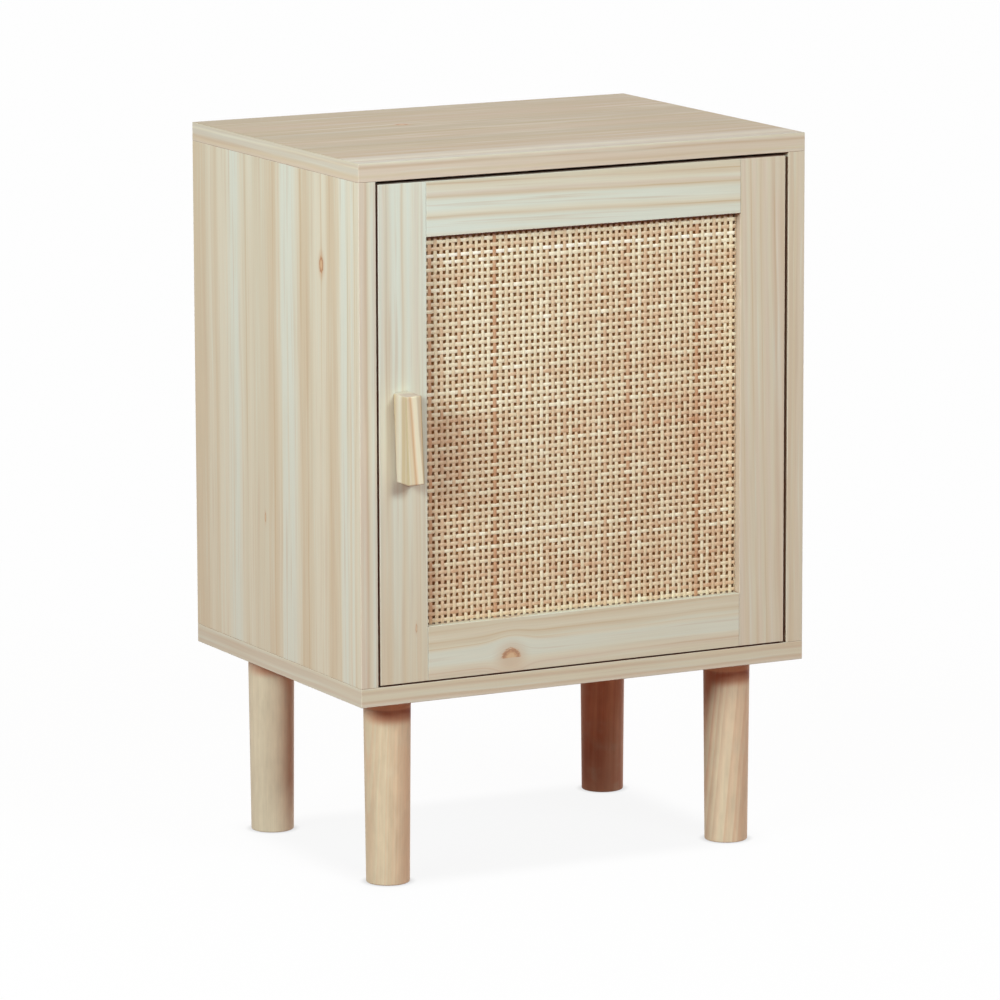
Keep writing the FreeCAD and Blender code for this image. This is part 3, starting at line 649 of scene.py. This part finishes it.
# How unevenly the rings are spaced, the part of a year's growth that is late wood, and the broad bands
RING_CHANGE = (0.45, 3.0)
LATE_WOOD = (0.1, 0.8)
LATE_WOOD_END = (1.0, 0.86)
BROAD_BANDS = (0.8, 3.0)
# How far below the bottom board its shade on a leg starts, is full, still is full and ends
LEG_SHADE = (10.0 * MM, 14.0 * MM, 17.0 * MM, 25.0 * MM)
LEG_SHADE_SHARE = 0.75
# Where the shade starts and is full round a leg, in leg widths from its axis to the front right
LEG_SHADE_TURN = (-1.0, 0.2)
# How far down the painted light on a leg's top and how far up the painted red shade of its foot go
LEG_TOP_LIGHT = 12.0 * MM
LEG_TOP_LIGHT_SHARE = 0.8
FOOT_SHADE_HEIGHT = 75.0 * MM
LEG_SEED_STEP = 7.0
LEGS = {
    # The pith and the spacing of the rings are in millimetres, and the pith is from the leg's axis.
    # The tones are the pale, the middle and the late one and that of the side to the front right, which
    # paints light on that side.
    "front_left_leg": {
        "pith": (85, 12), "lean": (0.02, 0.0), "spacing": 2.6, "contrast": 0.6, "lit_side_share": 0.85,
        "tones": ("turned", "turned_pale", "turned_late", "turned_peach"),
    },
    "back_left_leg": {
        "pith": (-60, 200), "lean": (0.1, 0.0), "spacing": 7.0, "contrast": 0.3, "lit_side_share": 0.9,
        "tones": ("turned_grey", "turned_grey", "turned", "turned_side_light"),
    },
    "front_right_leg": {
        "pith": (125, -66), "lean": (0.08, -0.035), "spacing": 6.5, "contrast": 1.0, "lit_side_share": 0.6,
        "tones": ("turned_warm", "turned_pale", "turned_late", "turned_peach"),
    },
    # Its redder tones are partly the wood's own and partly painted shade
    "back_right_leg": {
        "pith": (90, -40), "lean": (0.03, 0.02), "spacing": 5.0, "contrast": 0.5, "lit_side_share": 0.0,
        "foot_shade_share": 0.75, "tones": ("turned_red", "turned_peach", "turned_red", "turned_red"),
    },
}


def upright_grain(shader, places, frequencies, seed=0.0, detail=2.0):
    """Return noise that is drawn out upwards."""
    across, along = frequencies
    upwards = shader.plus(shader.times(places[Z], along), seed)
    return shader.noise(shader.times(places[X], across), shader.times(places[Y], across), upwards, detail)


def trunk_radius(shader, places, centre, pith, lean):
    """Return how far a point is from the middle of the trunk, which leans with height."""
    offsets = []
    for axis in (X, Y):
        from_foot = shader.minus(places[axis], centre[axis] + pith[axis] * MM)
        offsets.append(shader.minus(from_foot, shader.times(places[Z], lean[axis])))
    return shader.length(*offsets)


def board_shade(shader, colour, below, to_corner, width):
    """Paint light on a leg's top and painted shade below it, the shade most on its side to the front right.
    """
    in_top_light = shader.fade(below, LEG_TOP_LIGHT, LEG_SHADE[0])
    colour = shader.mix(shader.times(in_top_light, LEG_TOP_LIGHT_SHARE), colour, tone("leg_top_light"))
    starts = shader.fade(below, LEG_SHADE[0], LEG_SHADE[1])
    ends = shader.fade(below, LEG_SHADE[3], LEG_SHADE[2])
    turned = shader.fade(to_corner, LEG_SHADE_TURN[0] * width, LEG_SHADE_TURN[1] * width)
    shaded = shader.times(shader.times(starts, ends), shader.times(turned, LEG_SHADE_SHARE))
    return shader.mix(shaded, colour, tone("leg_shade"))


def solid_pine(name, pith, lean, spacing, contrast, tones, lit_side_share, foot_shade_share=0.0, seed=0.0):
    """Return pine cut from a round trunk; the foot's share is how much painted shade reddens and darkens it
    at the foot.
    """
    shader = new_material(name + "_pine")
    low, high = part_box(name)
    pale, middle, late, lit_side_tone = tones
    places, _ = shader.object_axes()
    radius = trunk_radius(shader, places, (low + high) / 2, pith, lean)
    waves = shader.minus(upright_grain(shader, places, WAVES, seed), 0.5)
    rings = shader.math("DIVIDE", shader.plus(radius, shader.times(waves, WAVE_REACH)), spacing * MM)
    uneven = shader.noise(shader.times(rings, RING_CHANGE[0]), seed)
    year = shader.math("FRACT", shader.plus(rings, shader.times(uneven, RING_CHANGE[1])))
    growth = shader.times(shader.fade(year, *LATE_WOOD), shader.fade(year, *LATE_WOOD_END))
    broad = shader.noise(shader.times(rings, BROAD_BANDS[0]), seed, shader.times(places[Z], BROAD_BANDS[1]))
    colour = shader.mix(shader.fade(broad, *CHANGE_LEVELS), tone(pale), tone(middle))
    late_share = shader.times(growth, shader.spread(uneven, 0.0, contrast))
    colour = shader.mix(late_share, colour, tone(late))

    to_right = shader.minus(places[X], (low.x + high.x) / 2)
    to_front = shader.minus((low.y + high.y) / 2, places[Y])
    to_corner = shader.plus(to_right, to_front)
    width = high.x - low.x
    # Painted light: the side to the front right turns towards its own paler tone
    turned = shader.fade(to_corner, 0.0, width)
    colour = shader.mix(shader.times(turned, lit_side_share), colour, tone(lit_side_tone))
    # Painted shade: redder and darker towards the foot
    foot = shader.fade(places[Z], FOOT_SHADE_HEIGHT, 0.0)
    colour = shader.mix(shader.times(foot, foot_shade_share), colour, tone("painted_foot_shade"))
    clouds = shader.fade(shader.even_noise(places, CLOUD_FREQUENCY, detail=3.0), *CLOUD_LEVELS)
    colour = shader.mix(shader.times(clouds, CLOUD_SHARE), colour, tone("turned_grey"))
    mottle = upright_grain(shader, places, MOTTLE, detail=3.0)
    colour = shader.shade(colour, shader.spread(mottle, *MOTTLE_SHADES))
    colour = board_shade(shader, colour, shader.minus(high.z, places[Z]), to_corner, width)
    fibres = upright_grain(shader, places, LEG_FIBRES, detail=1.0)
    colour = shader.shade(colour, shader.spread(fibres, *LEG_FIBRE_SHADES))
    roughness = shader.spread(fibres, *LEG_ROUGHNESS)
    shader.surface(colour, roughness, shader.bump(fibres, LEG_RELIEF), Specular_IOR_Level=LEG_GLOSS)
    return shader


def dress_legs():
    for number, (name, looks) in enumerate(LEGS.items()):
        dress([name], solid_pine(name, seed=number * LEG_SEED_STEP, **looks))


HANDLE = {
    # The handle's corners tone paints shade on its rounded upright edges
    "along": Z, "face": Y, "slope": 0.085, "wear_and_highlight": 0.1, "corners": "pine_edge_shade", "seed": 61.0,
    "streaks": [
        (0, "pine"), (7.8, "pine"), (9.5, "pine_late"), (10.9, "pine_peach"), (11.9, "pine_cream"),
        (14.6, "pine_cream"), (16.0, "pine_tan"), (19, "pine_tan"), (21, "pine")],
    "edges": [
        (0, "pine_olive"), (11, "pine_olive"), (13, "pine_pale"), (15, "pine_mint"), (20, "pine_pale"),
        (24, "pine_olive")],
    "ends": [(0, "pine_end"), (12, "pine_end"), (20, "cream")],
}


def dress_handle():
    dress(["handle"], board_wood("handle", **HANDLE))


# ------------------------------------------------------------------ small hardware
SMALL_RELIEF = 0.03 * MM
WOOD_RELIEF = 0.05 * MM
DOWEL_FLECKS = 400.0
DOWEL_STOPS = ((0.3, "beech_dark"), (0.6, "beech"))
DOWEL_ROUGHNESS = (0.55, 0.7)
HARDBOARD_SPECKS = 900.0
HARDBOARD_CLOUDS = 25.0
HARDBOARD_CLOUD_SHARE = 0.4
HARDBOARD_STOPS = ((0.35, "hardboard_dark"), (0.6, "hardboard"))
HARDBOARD_ROUGHNESS = (0.5, 0.7)
METAL_CLOUDS = 120.0
METAL_RELIEF = 0.02 * MM
# How many times longer brush marks are than they are wide
BRUSH_STRETCH = 12
# The clouds' shares in a metal's tone and roughness, its darkest and lightest tone, and its blue
METAL_TONE_CLOUDS = 0.5
METAL_ROUGHNESS_CLOUDS = 0.3
METAL_SHADES = (0.8, 1.1)
METAL_BLUE = 0.97
METALS = {
    # slot: (name, level, least and most roughness, frequency of the brush marks)
    "hinge_steel": ("nickel_plate", 0.62, 0.22, 0.42, 500.0),
    "screw_steel": ("zinc_plate", 0.6, 0.28, 0.48, 700.0),
    "fitting_zinc": ("die_cast_zinc", 0.5, 0.38, 0.6, 900.0),
}
MOULDED_TEXTURE = 1400.0
MOULDED_CLOUDS = 60.0
MOULDED_SHADES = (0.95, 1.05)
MOULDED = {
    # slot: (name, light colour, dark colour, least and most roughness)
    "catch_plastic": ("catch_plastic", (0.76, 0.74, 0.68, 1.0), (0.7, 0.68, 0.61, 1.0), 0.38, 0.5),
    "magnet": ("ferrite", (0.05, 0.05, 0.052, 1.0), (0.035, 0.034, 0.035, 1.0), 0.45, 0.65),
}


def dowel_wood():
    shader = new_material("beech")
    places, _ = shader.object_axes()
    flecks = shader.even_noise(places, DOWEL_FLECKS, detail=3.0)
    roughness = shader.spread(flecks, *DOWEL_ROUGHNESS)
    shader.surface(shader.ramp(flecks, DOWEL_STOPS), roughness, shader.bump(flecks, WOOD_RELIEF))
    return shader


def hardboard():
    """Return smooth brown fibreboard with fine dark specks."""
    shader = new_material("hardboard")
    places, _ = shader.object_axes()
    specks = shader.even_noise(places, HARDBOARD_SPECKS, detail=4.0)
    clouds = shader.even_noise(places, HARDBOARD_CLOUDS)
    colour = shader.ramp(shader.blend(HARDBOARD_CLOUD_SHARE, specks, clouds), HARDBOARD_STOPS)
    roughness = shader.spread(specks, *HARDBOARD_ROUGHNESS)
    shader.surface(colour, roughness, shader.bump(specks, SMALL_RELIEF))
    return shader


def metal(name, level, rough_low, rough_high, brush):
    """Return plated metal with brush marks, cloudy patches and dulled spots."""
    shader = new_material(name)
    places, _ = shader.object_axes()
    marks = shader.noise(shader.times(places[X], brush), shader.times(places[Y], brush / BRUSH_STRETCH),
                         shader.times(places[Z], brush), detail=3.0)
    clouds = shader.even_noise(places, METAL_CLOUDS)
    mixed = shader.blend(METAL_TONE_CLOUDS, marks, clouds)
    grey = shader.spread(mixed, level * METAL_SHADES[0], level * METAL_SHADES[1])
    colour = shader.vector(grey, grey, shader.times(grey, METAL_BLUE))
    dulled = shader.blend(METAL_ROUGHNESS_CLOUDS, marks, clouds)
    roughness = shader.spread(dulled, rough_low, rough_high)
    shader.surface(colour, roughness, shader.bump(marks, METAL_RELIEF), Metallic=1.0)
    return shader


def moulded(name, light, dark, rough_low, rough_high):
    """Return a moulded or fired material with a fine dull texture."""
    shader = new_material(name)
    places, _ = shader.object_axes()
    texture = shader.even_noise(places, MOULDED_TEXTURE, detail=3.0)
    clouds = shader.fade(shader.even_noise(places, MOULDED_CLOUDS), *CHANGE_LEVELS)
    colour = shader.shade(shader.mix(clouds, light, dark), shader.spread(texture, *MOULDED_SHADES))
    roughness = shader.spread(texture, rough_low, rough_high)
    shader.surface(colour, roughness, shader.bump(texture, SMALL_RELIEF))
    return shader


def dress_hardware():
    slots = {}
    for part in frame["record"]["subparts"]:
        slots.setdefault(part["material_slot"], []).append(part["node"])
    dress(slots["dowel_wood"], dowel_wood())
    dress(slots["hardboard"], hardboard())
    for slot, finish in METALS.items():
        dress(slots[slot], metal(*finish))
    for slot, finish in MOULDED.items():
        dress(slots[slot], moulded(*finish))


# ------------------------------------------------------------------ woven cane
# Places of the first holes from the low corner of the cane, in millimetres
FIRST_HOLE_X = 16.5
FIRST_HOLE_Z = 12.8
HOLE_PITCH_X = 5.213
HOLE_PITCH_Z = 5.469
STRAND_WIDTH = 2.85
STRAND_THICKNESS = 0.5
WEAVE_SWING = 0.28
WIDTH_CHANGE = 0.25
PLACE_CHANGE = 0.18
STEPS_PER_CROSSING = 4
# Lengths of a strand's slow and quick bends and changes of width, in millimetres per radian
WANDER_LENGTHS = (37, 13)
SWELL_LENGTHS = (29, 9)
# Corners of a strand's section, as shares of its width and thickness
SECTION = ((-0.5, 0.0), (-0.27, -0.5), (0.27, -0.5), (0.5, 0.0), (0.27, 0.5), (-0.27, 0.5))
SHARP_ANGLE = math.radians(70)


def crossings(low, high, first_hole, pitch):
    """Return the number of the first strand and the centres of all strands between two limits."""
    margin = STRAND_WIDTH / 2
    start = math.ceil((low + margin - first_hole) / pitch - 0.5)
    stop = math.floor((high - margin - first_hole) / pitch - 0.5)
    return start, [first_hole + (index + 0.5) * pitch for index in range(start, stop + 1)]


def two_waves(run, lengths, phases):
    """Return the sum of a slow and a quick wave."""
    return math.sin(run / lengths[0] + phases[0]) + math.sin(run / lengths[1] + phases[1])


def strand_rings(along, place, number, limits, first, pitch, middle, chance):
    """Return the rings of points of one strand, which passes over and under the others."""
    side = 1 if along == X else -1
    if number % 2:
        side = -side
    low, high = limits
    steps = round((high - low) / pitch * STEPS_PER_CROSSING)
    phases = [chance.uniform(0, math.tau) for _ in range(4)]
    width_bias = chance.uniform(-0.5, 0.5) * WIDTH_CHANGE
    rings = []
    for step in range(steps + 1):
        run = low + (high - low) * step / steps
        swing = side * WEAVE_SWING * math.cos(math.pi * ((run - first) / pitch - 0.5))
        wander = two_waves(run, WANDER_LENGTHS, phases[:2])
        swell = two_waves(run, SWELL_LENGTHS, phases[2:])
        width = STRAND_WIDTH + width_bias + WIDTH_CHANGE * swell / 2
        ring = []
        for across, deep in SECTION:
            point = [0.0, middle + swing + deep * STRAND_THICKNESS, 0.0]
            point[along] = run
            point[X + Z - along] = place + PLACE_CHANGE * wander / 2 + across * width
            ring.append([value * MM for value in point])
        rings.append(ring)
    return rings


def strand_faces(rings_made, base, sides):
    """Return the faces of a closed strand whose points start at base."""
    faces = []
    for ring in range(rings_made - 1):
        here = base + ring * sides
        for side in range(sides):
            after = (side + 1) % sides
            faces.append((here + side, here + after, here + sides + after, here + sides + side))
    faces.append(tuple(base + side for side in reversed(range(sides))))
    last = base + (rings_made - 1) * sides
    faces.append(tuple(last + side for side in range(sides)))
    return faces


def cane_layer(name, along, seed):
    """Build all strands of the cane that run one way, as one closed mesh per strand."""
    low, high = (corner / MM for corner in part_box("cane_webbing"))
    across = X + Z - along
    first = {X: low.x + FIRST_HOLE_X, Z: low.z + FIRST_HOLE_Z}
    pitch = {X: HOLE_PITCH_X, Z: HOLE_PITCH_Z}
    middle = (low.y + high.y) / 2
    start, centres = crossings(low[across], high[across], first[across], pitch[across])
    chance = random.Random(seed)
    points = []
    faces = []
    for number, place in enumerate(centres, start):
        limits = (low[along], high[along])
        rings = strand_rings(along, place, number, limits, first[along], pitch[along], middle, chance)
        faces += strand_faces(len(rings), len(points), len(SECTION))
        for ring in rings:
            points += ring
    mesh = bpy.data.meshes.new(name)
    mesh.from_pydata(points, [], faces)
    if along == Z:
        # The rings of upright strands run the other way round
        mesh.flip_normals()
    mesh.polygons.foreach_set("use_smooth", [True] * len(mesh.polygons))
    mesh.set_sharp_from_angle(angle=SHARP_ANGLE)
    mesh.update()
    piece = bpy.data.objects.new(name, mesh)
    bpy.context.scene.collection.objects.link(piece)
    piece.data.materials.append(cane_finish(name, along, first[across], pitch[across], seed).owner)
    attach(piece, "door")
    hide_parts("cane_webbing")
    return piece


CANE_PATCHES = [
    # (x, z, half width, half height, strength) in millimetres: warmer and, below 0, paler patches
    (-120.0, 348.0, 24.0, 62.0, 0.1),
    (105.0, 340.0, 60.0, 75.0, 0.12),
    (-90.0, 440.0, 60.0, 90.0, -0.1),
]
CANE_STRANDS = {
    # (place, strength): warmer and paler strands, by the axis that they run along
    Z: [(-134.6, 0.5), (-108.5, 0.22), (-92.9, 0.15), (-77.3, 0.36), (-61.6, 0.15), (-46.0, 0.12),
        (-14.7, 0.2), (21.8, 0.18), (42.6, 0.4), (58.3, 0.22), (105.2, 0.28), (120.8, 0.16), (136.5, 0.15)],
    X: [(221.3, 0.25), (237.7, 0.15), (248.7, 0.2), (358.1, 0.2), (369.0, 0.15), (456.5, 0.15),
        (506.3, -0.25)],
}
BLUSH_HALF_WIDTH = 2.2 * MM
# Frequencies of a strand's change of tone, along it and from strand to strand, and of its threads
CANE_CHANGE = (75.0, 17.3)
CANE_THREADS = (60.0, 4200.0)
# How much of a strand's warmth is its own and how much changes along it
OWN_WARMTH = 0.28
CHANGING_WARMTH = 0.84
# The palest stop paints glints on the strands
CANE_STOPS = ((0.18, "cane_glint"), (0.34, "cane_cream"), (0.52, "cane_straw"), (0.69, "cane_peach"),
              (1.0, "cane_rust"))
THREAD_SHADES = (0.88, 1.1)
CANE_ROUGHNESS = (0.34, 0.52)
CANE_GLOSS = 0.45
# The height at which the cane goes behind the top rail, and how far below it the rail shades it
CANE_TOP = 521.0 * MM
CANE_SHADE_DEPTH = 3.2 * MM
CANE_SHADE_SHARE = 0.9


def cane_finish(name, along, first_hole, pitch, seed):
    """Return the finish of strands: each has its own tone, which changes along it."""
    shader = new_material(name)
    places, _ = shader.object_axes()
    run = places[along]
    cross = places[X + Z - along]
    number = shader.math("FLOOR", shader.steps(cross, first_hole * MM, pitch * MM))
    chance = shader.add("TexWhiteNoise", {"W": shader.plus(number, seed)}, noise_dimensions="1D")
    own = chance.outputs["Value"]
    change = grain(shader, CANE_CHANGE, run, number, seed, detail=4.0)
    warm = shader.plus(shader.times(own, OWN_WARMTH), shader.times(change, CHANGING_WARMTH))
    for x, z, half_width, half_height, strength in CANE_PATCHES:
        sideways = shader.steps(places[X], x * MM, half_width * MM)
        upwards = shader.steps(places[Z], z * MM, half_height * MM)
        patch = shader.hump(shader.square_sum(sideways, upwards))
        warm = shader.plus(warm, shader.times(patch, strength))
    for place, strength in CANE_STRANDS[along]:
        on_strand = shader.math("LESS_THAN", shader.off(cross, place * MM), BLUSH_HALF_WIDTH)
        warm = shader.plus(warm, shader.times(on_strand, strength))
    colour = shader.ramp(warm, CANE_STOPS)
    in_shade = shader.fade(places[Z], CANE_TOP - CANE_SHADE_DEPTH, CANE_TOP)
    colour = shader.mix(shader.times(in_shade, CANE_SHADE_SHARE), colour, tone("cane_shade"))
    threads = grain(shader, CANE_THREADS, run, cross, seed, detail=1.0)
    colour = shader.shade(colour, shader.spread(threads, *THREAD_SHADES))
    shader.surface(colour, shader.spread(threads, *CANE_ROUGHNESS), shader.bump(threads, WOOD_RELIEF),
                   Specular_IOR_Level=CANE_GLOSS)
    return shader


# ------------------------------------------------------------------ floor, lamps, camera
def seen_rays(shader):
    """Return 1 for the rays that show the background itself, also in metal and glass."""
    path = shader.add("LightPath")
    seen = shader.math("MAXIMUM", path.outputs["Is Camera Ray"], path.outputs["Is Glossy Ray"])
    return shader.math("MAXIMUM", seen, path.outputs["Is Transmission Ray"])


def build_world():
    """Light the room evenly, and show it as white."""
    world = bpy.data.worlds.new("room")
    bpy.context.scene.world = world
    shader = Shader(world)
    lit = shader.add("Background", {"Color": (*AMBIENT, 1.0)})
    white = shader.add("Background", {"Strength": BACKGROUND_LEVEL})
    white.inputs["Color"].default_value = (1.0, 1.0, 1.0, 1.0)
    both = shader.add("MixShader", {"Fac": seen_rays(shader)})
    shader.feed(both.inputs[1], lit.outputs[0])
    shader.feed(both.inputs[2], white.outputs[0])
    shader.finish(both.outputs[0], "OutputWorld")


def floor_shade(shader, places):
    """Return 1 on the open floor, and less under the body and close round each foot."""
    low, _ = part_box("front_left_leg")
    _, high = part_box("back_right_leg")
    shade = BODY_SHADE
    for axis in (X, Y):
        half = (high[axis] - low[axis]) / 2
        off = shader.off(places[axis], (high[axis] + low[axis]) / 2)
        inside = shader.fade(off, half + BODY_SHADE_SOFTNESS, half - BODY_SHADE_SOFTNESS)
        shade = shader.times(inside, shade)
    level = shader.minus(1.0, shade)
    for name in LEGS:
        low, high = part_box(name)
        centre = (low + high) / 2
        half = (high.x - low.x) / 2
        distance = shader.length(shader.minus(places[X], centre.x), shader.minus(places[Y], centre.y))
        at_foot = shader.fade(distance, half + FOOT_SHADE_REACH, half - FOOT_SHADE_REACH)
        level = shader.times(level, shader.minus(1.0, shader.times(at_foot, FOOT_SHADE)))
    return level


def build_floor():
    """Lay a white floor that shows the object's shadow and fades into the background."""
    half = FLOOR_SIZE / 2
    corners = [(-half, -half, 0), (half, -half, 0), (half, half, 0), (-half, half, 0)]
    mesh = bpy.data.meshes.new("floor")
    mesh.from_pydata(corners, [], [(0, 1, 2, 3)])
    floor = bpy.data.objects.new("floor", mesh)
    bpy.context.scene.collection.objects.link(floor)
    shader = new_material("floor_paint")
    places, _ = shader.object_axes()
    white = shader.add("Emission", {"Strength": BACKGROUND_LEVEL})
    glow = shader.add("Emission", {"Strength": shader.times(floor_shade(shader, places), FLOOR_GLOW)})
    dull = shader.add("BsdfDiffuse", {"Color": FLOOR_DULL})
    near = shader.add("AddShader")
    shader.feed(near.inputs[0], glow.outputs[0])
    shader.feed(near.inputs[1], dull.outputs[0])
    far = shader.fade(shader.length(places[X], places[Y]), *FLOOR_FADE)
    seen = shader.add("MixShader", {"Fac": far})
    shader.feed(seen.inputs[1], near.outputs[0])
    shader.feed(seen.inputs[2], white.outputs[0])
    bounce = shader.add("BsdfDiffuse", {"Color": (*FLOOR_BOUNCE, 1.0)})
    both = shader.add("MixShader", {"Fac": seen_rays(shader)})
    shader.feed(both.inputs[1], bounce.outputs[0])
    shader.feed(both.inputs[2], seen.outputs[0])
    shader.finish(both.outputs[0])
    mesh.materials.append(shader.owner)


def build_lamps():
    for name, (azimuth, elevation, width, height, level, colour) in LAMPS.items():
        turn = math.radians(azimuth)
        rise = math.radians(elevation)
        back = Vector((math.sin(turn) * math.cos(rise), -math.cos(turn) * math.cos(rise), math.sin(rise)))
        light = bpy.data.lights.new(name, "AREA")
        light.shape = "RECTANGLE"
        light.size = width
        light.size_y = height
        light.energy = level * (math.pi * LAMP_DISTANCE) ** 2
        light.color = colour
        lamp = bpy.data.objects.new(name, light)
        bpy.context.scene.collection.objects.link(lamp)
        lamp.location = LAMP_TARGET + back * LAMP_DISTANCE
        lamp.rotation_euler = back.to_track_quat("Z", "Y").to_euler()
        lamp.visible_camera = False


def build_camera():
    data = bpy.data.cameras.new("camera")
    data.sensor_width = SENSOR_MM
    data.lens = FOCAL_PIXELS * SENSOR_MM / FRAME_PIXELS
    camera = bpy.data.objects.new("camera", data)
    bpy.context.scene.collection.objects.link(camera)
    turn = Matrix.Rotation(-CAMERA_YAW, 4, "Z") @ Matrix.Rotation(math.pi / 2 - CAMERA_PITCH, 4, "X")
    camera.matrix_world = Matrix.Translation(CAMERA_PLACE) @ turn @ Matrix.Rotation(CAMERA_ROLL, 4, "Z")
    bpy.context.scene.camera = camera


# ------------------------------------------------------------------ the scene
bpy.context.scene.view_settings.view_transform = "Standard"
build_camera()
build_world()
build_floor()
build_lamps()
dress_boards()
dress_legs()
dress_handle()
dress_hardware()
cane_layer("cane_uprights", Z, 5.0)
cane_layer("cane_crosswise", X, 9.0)
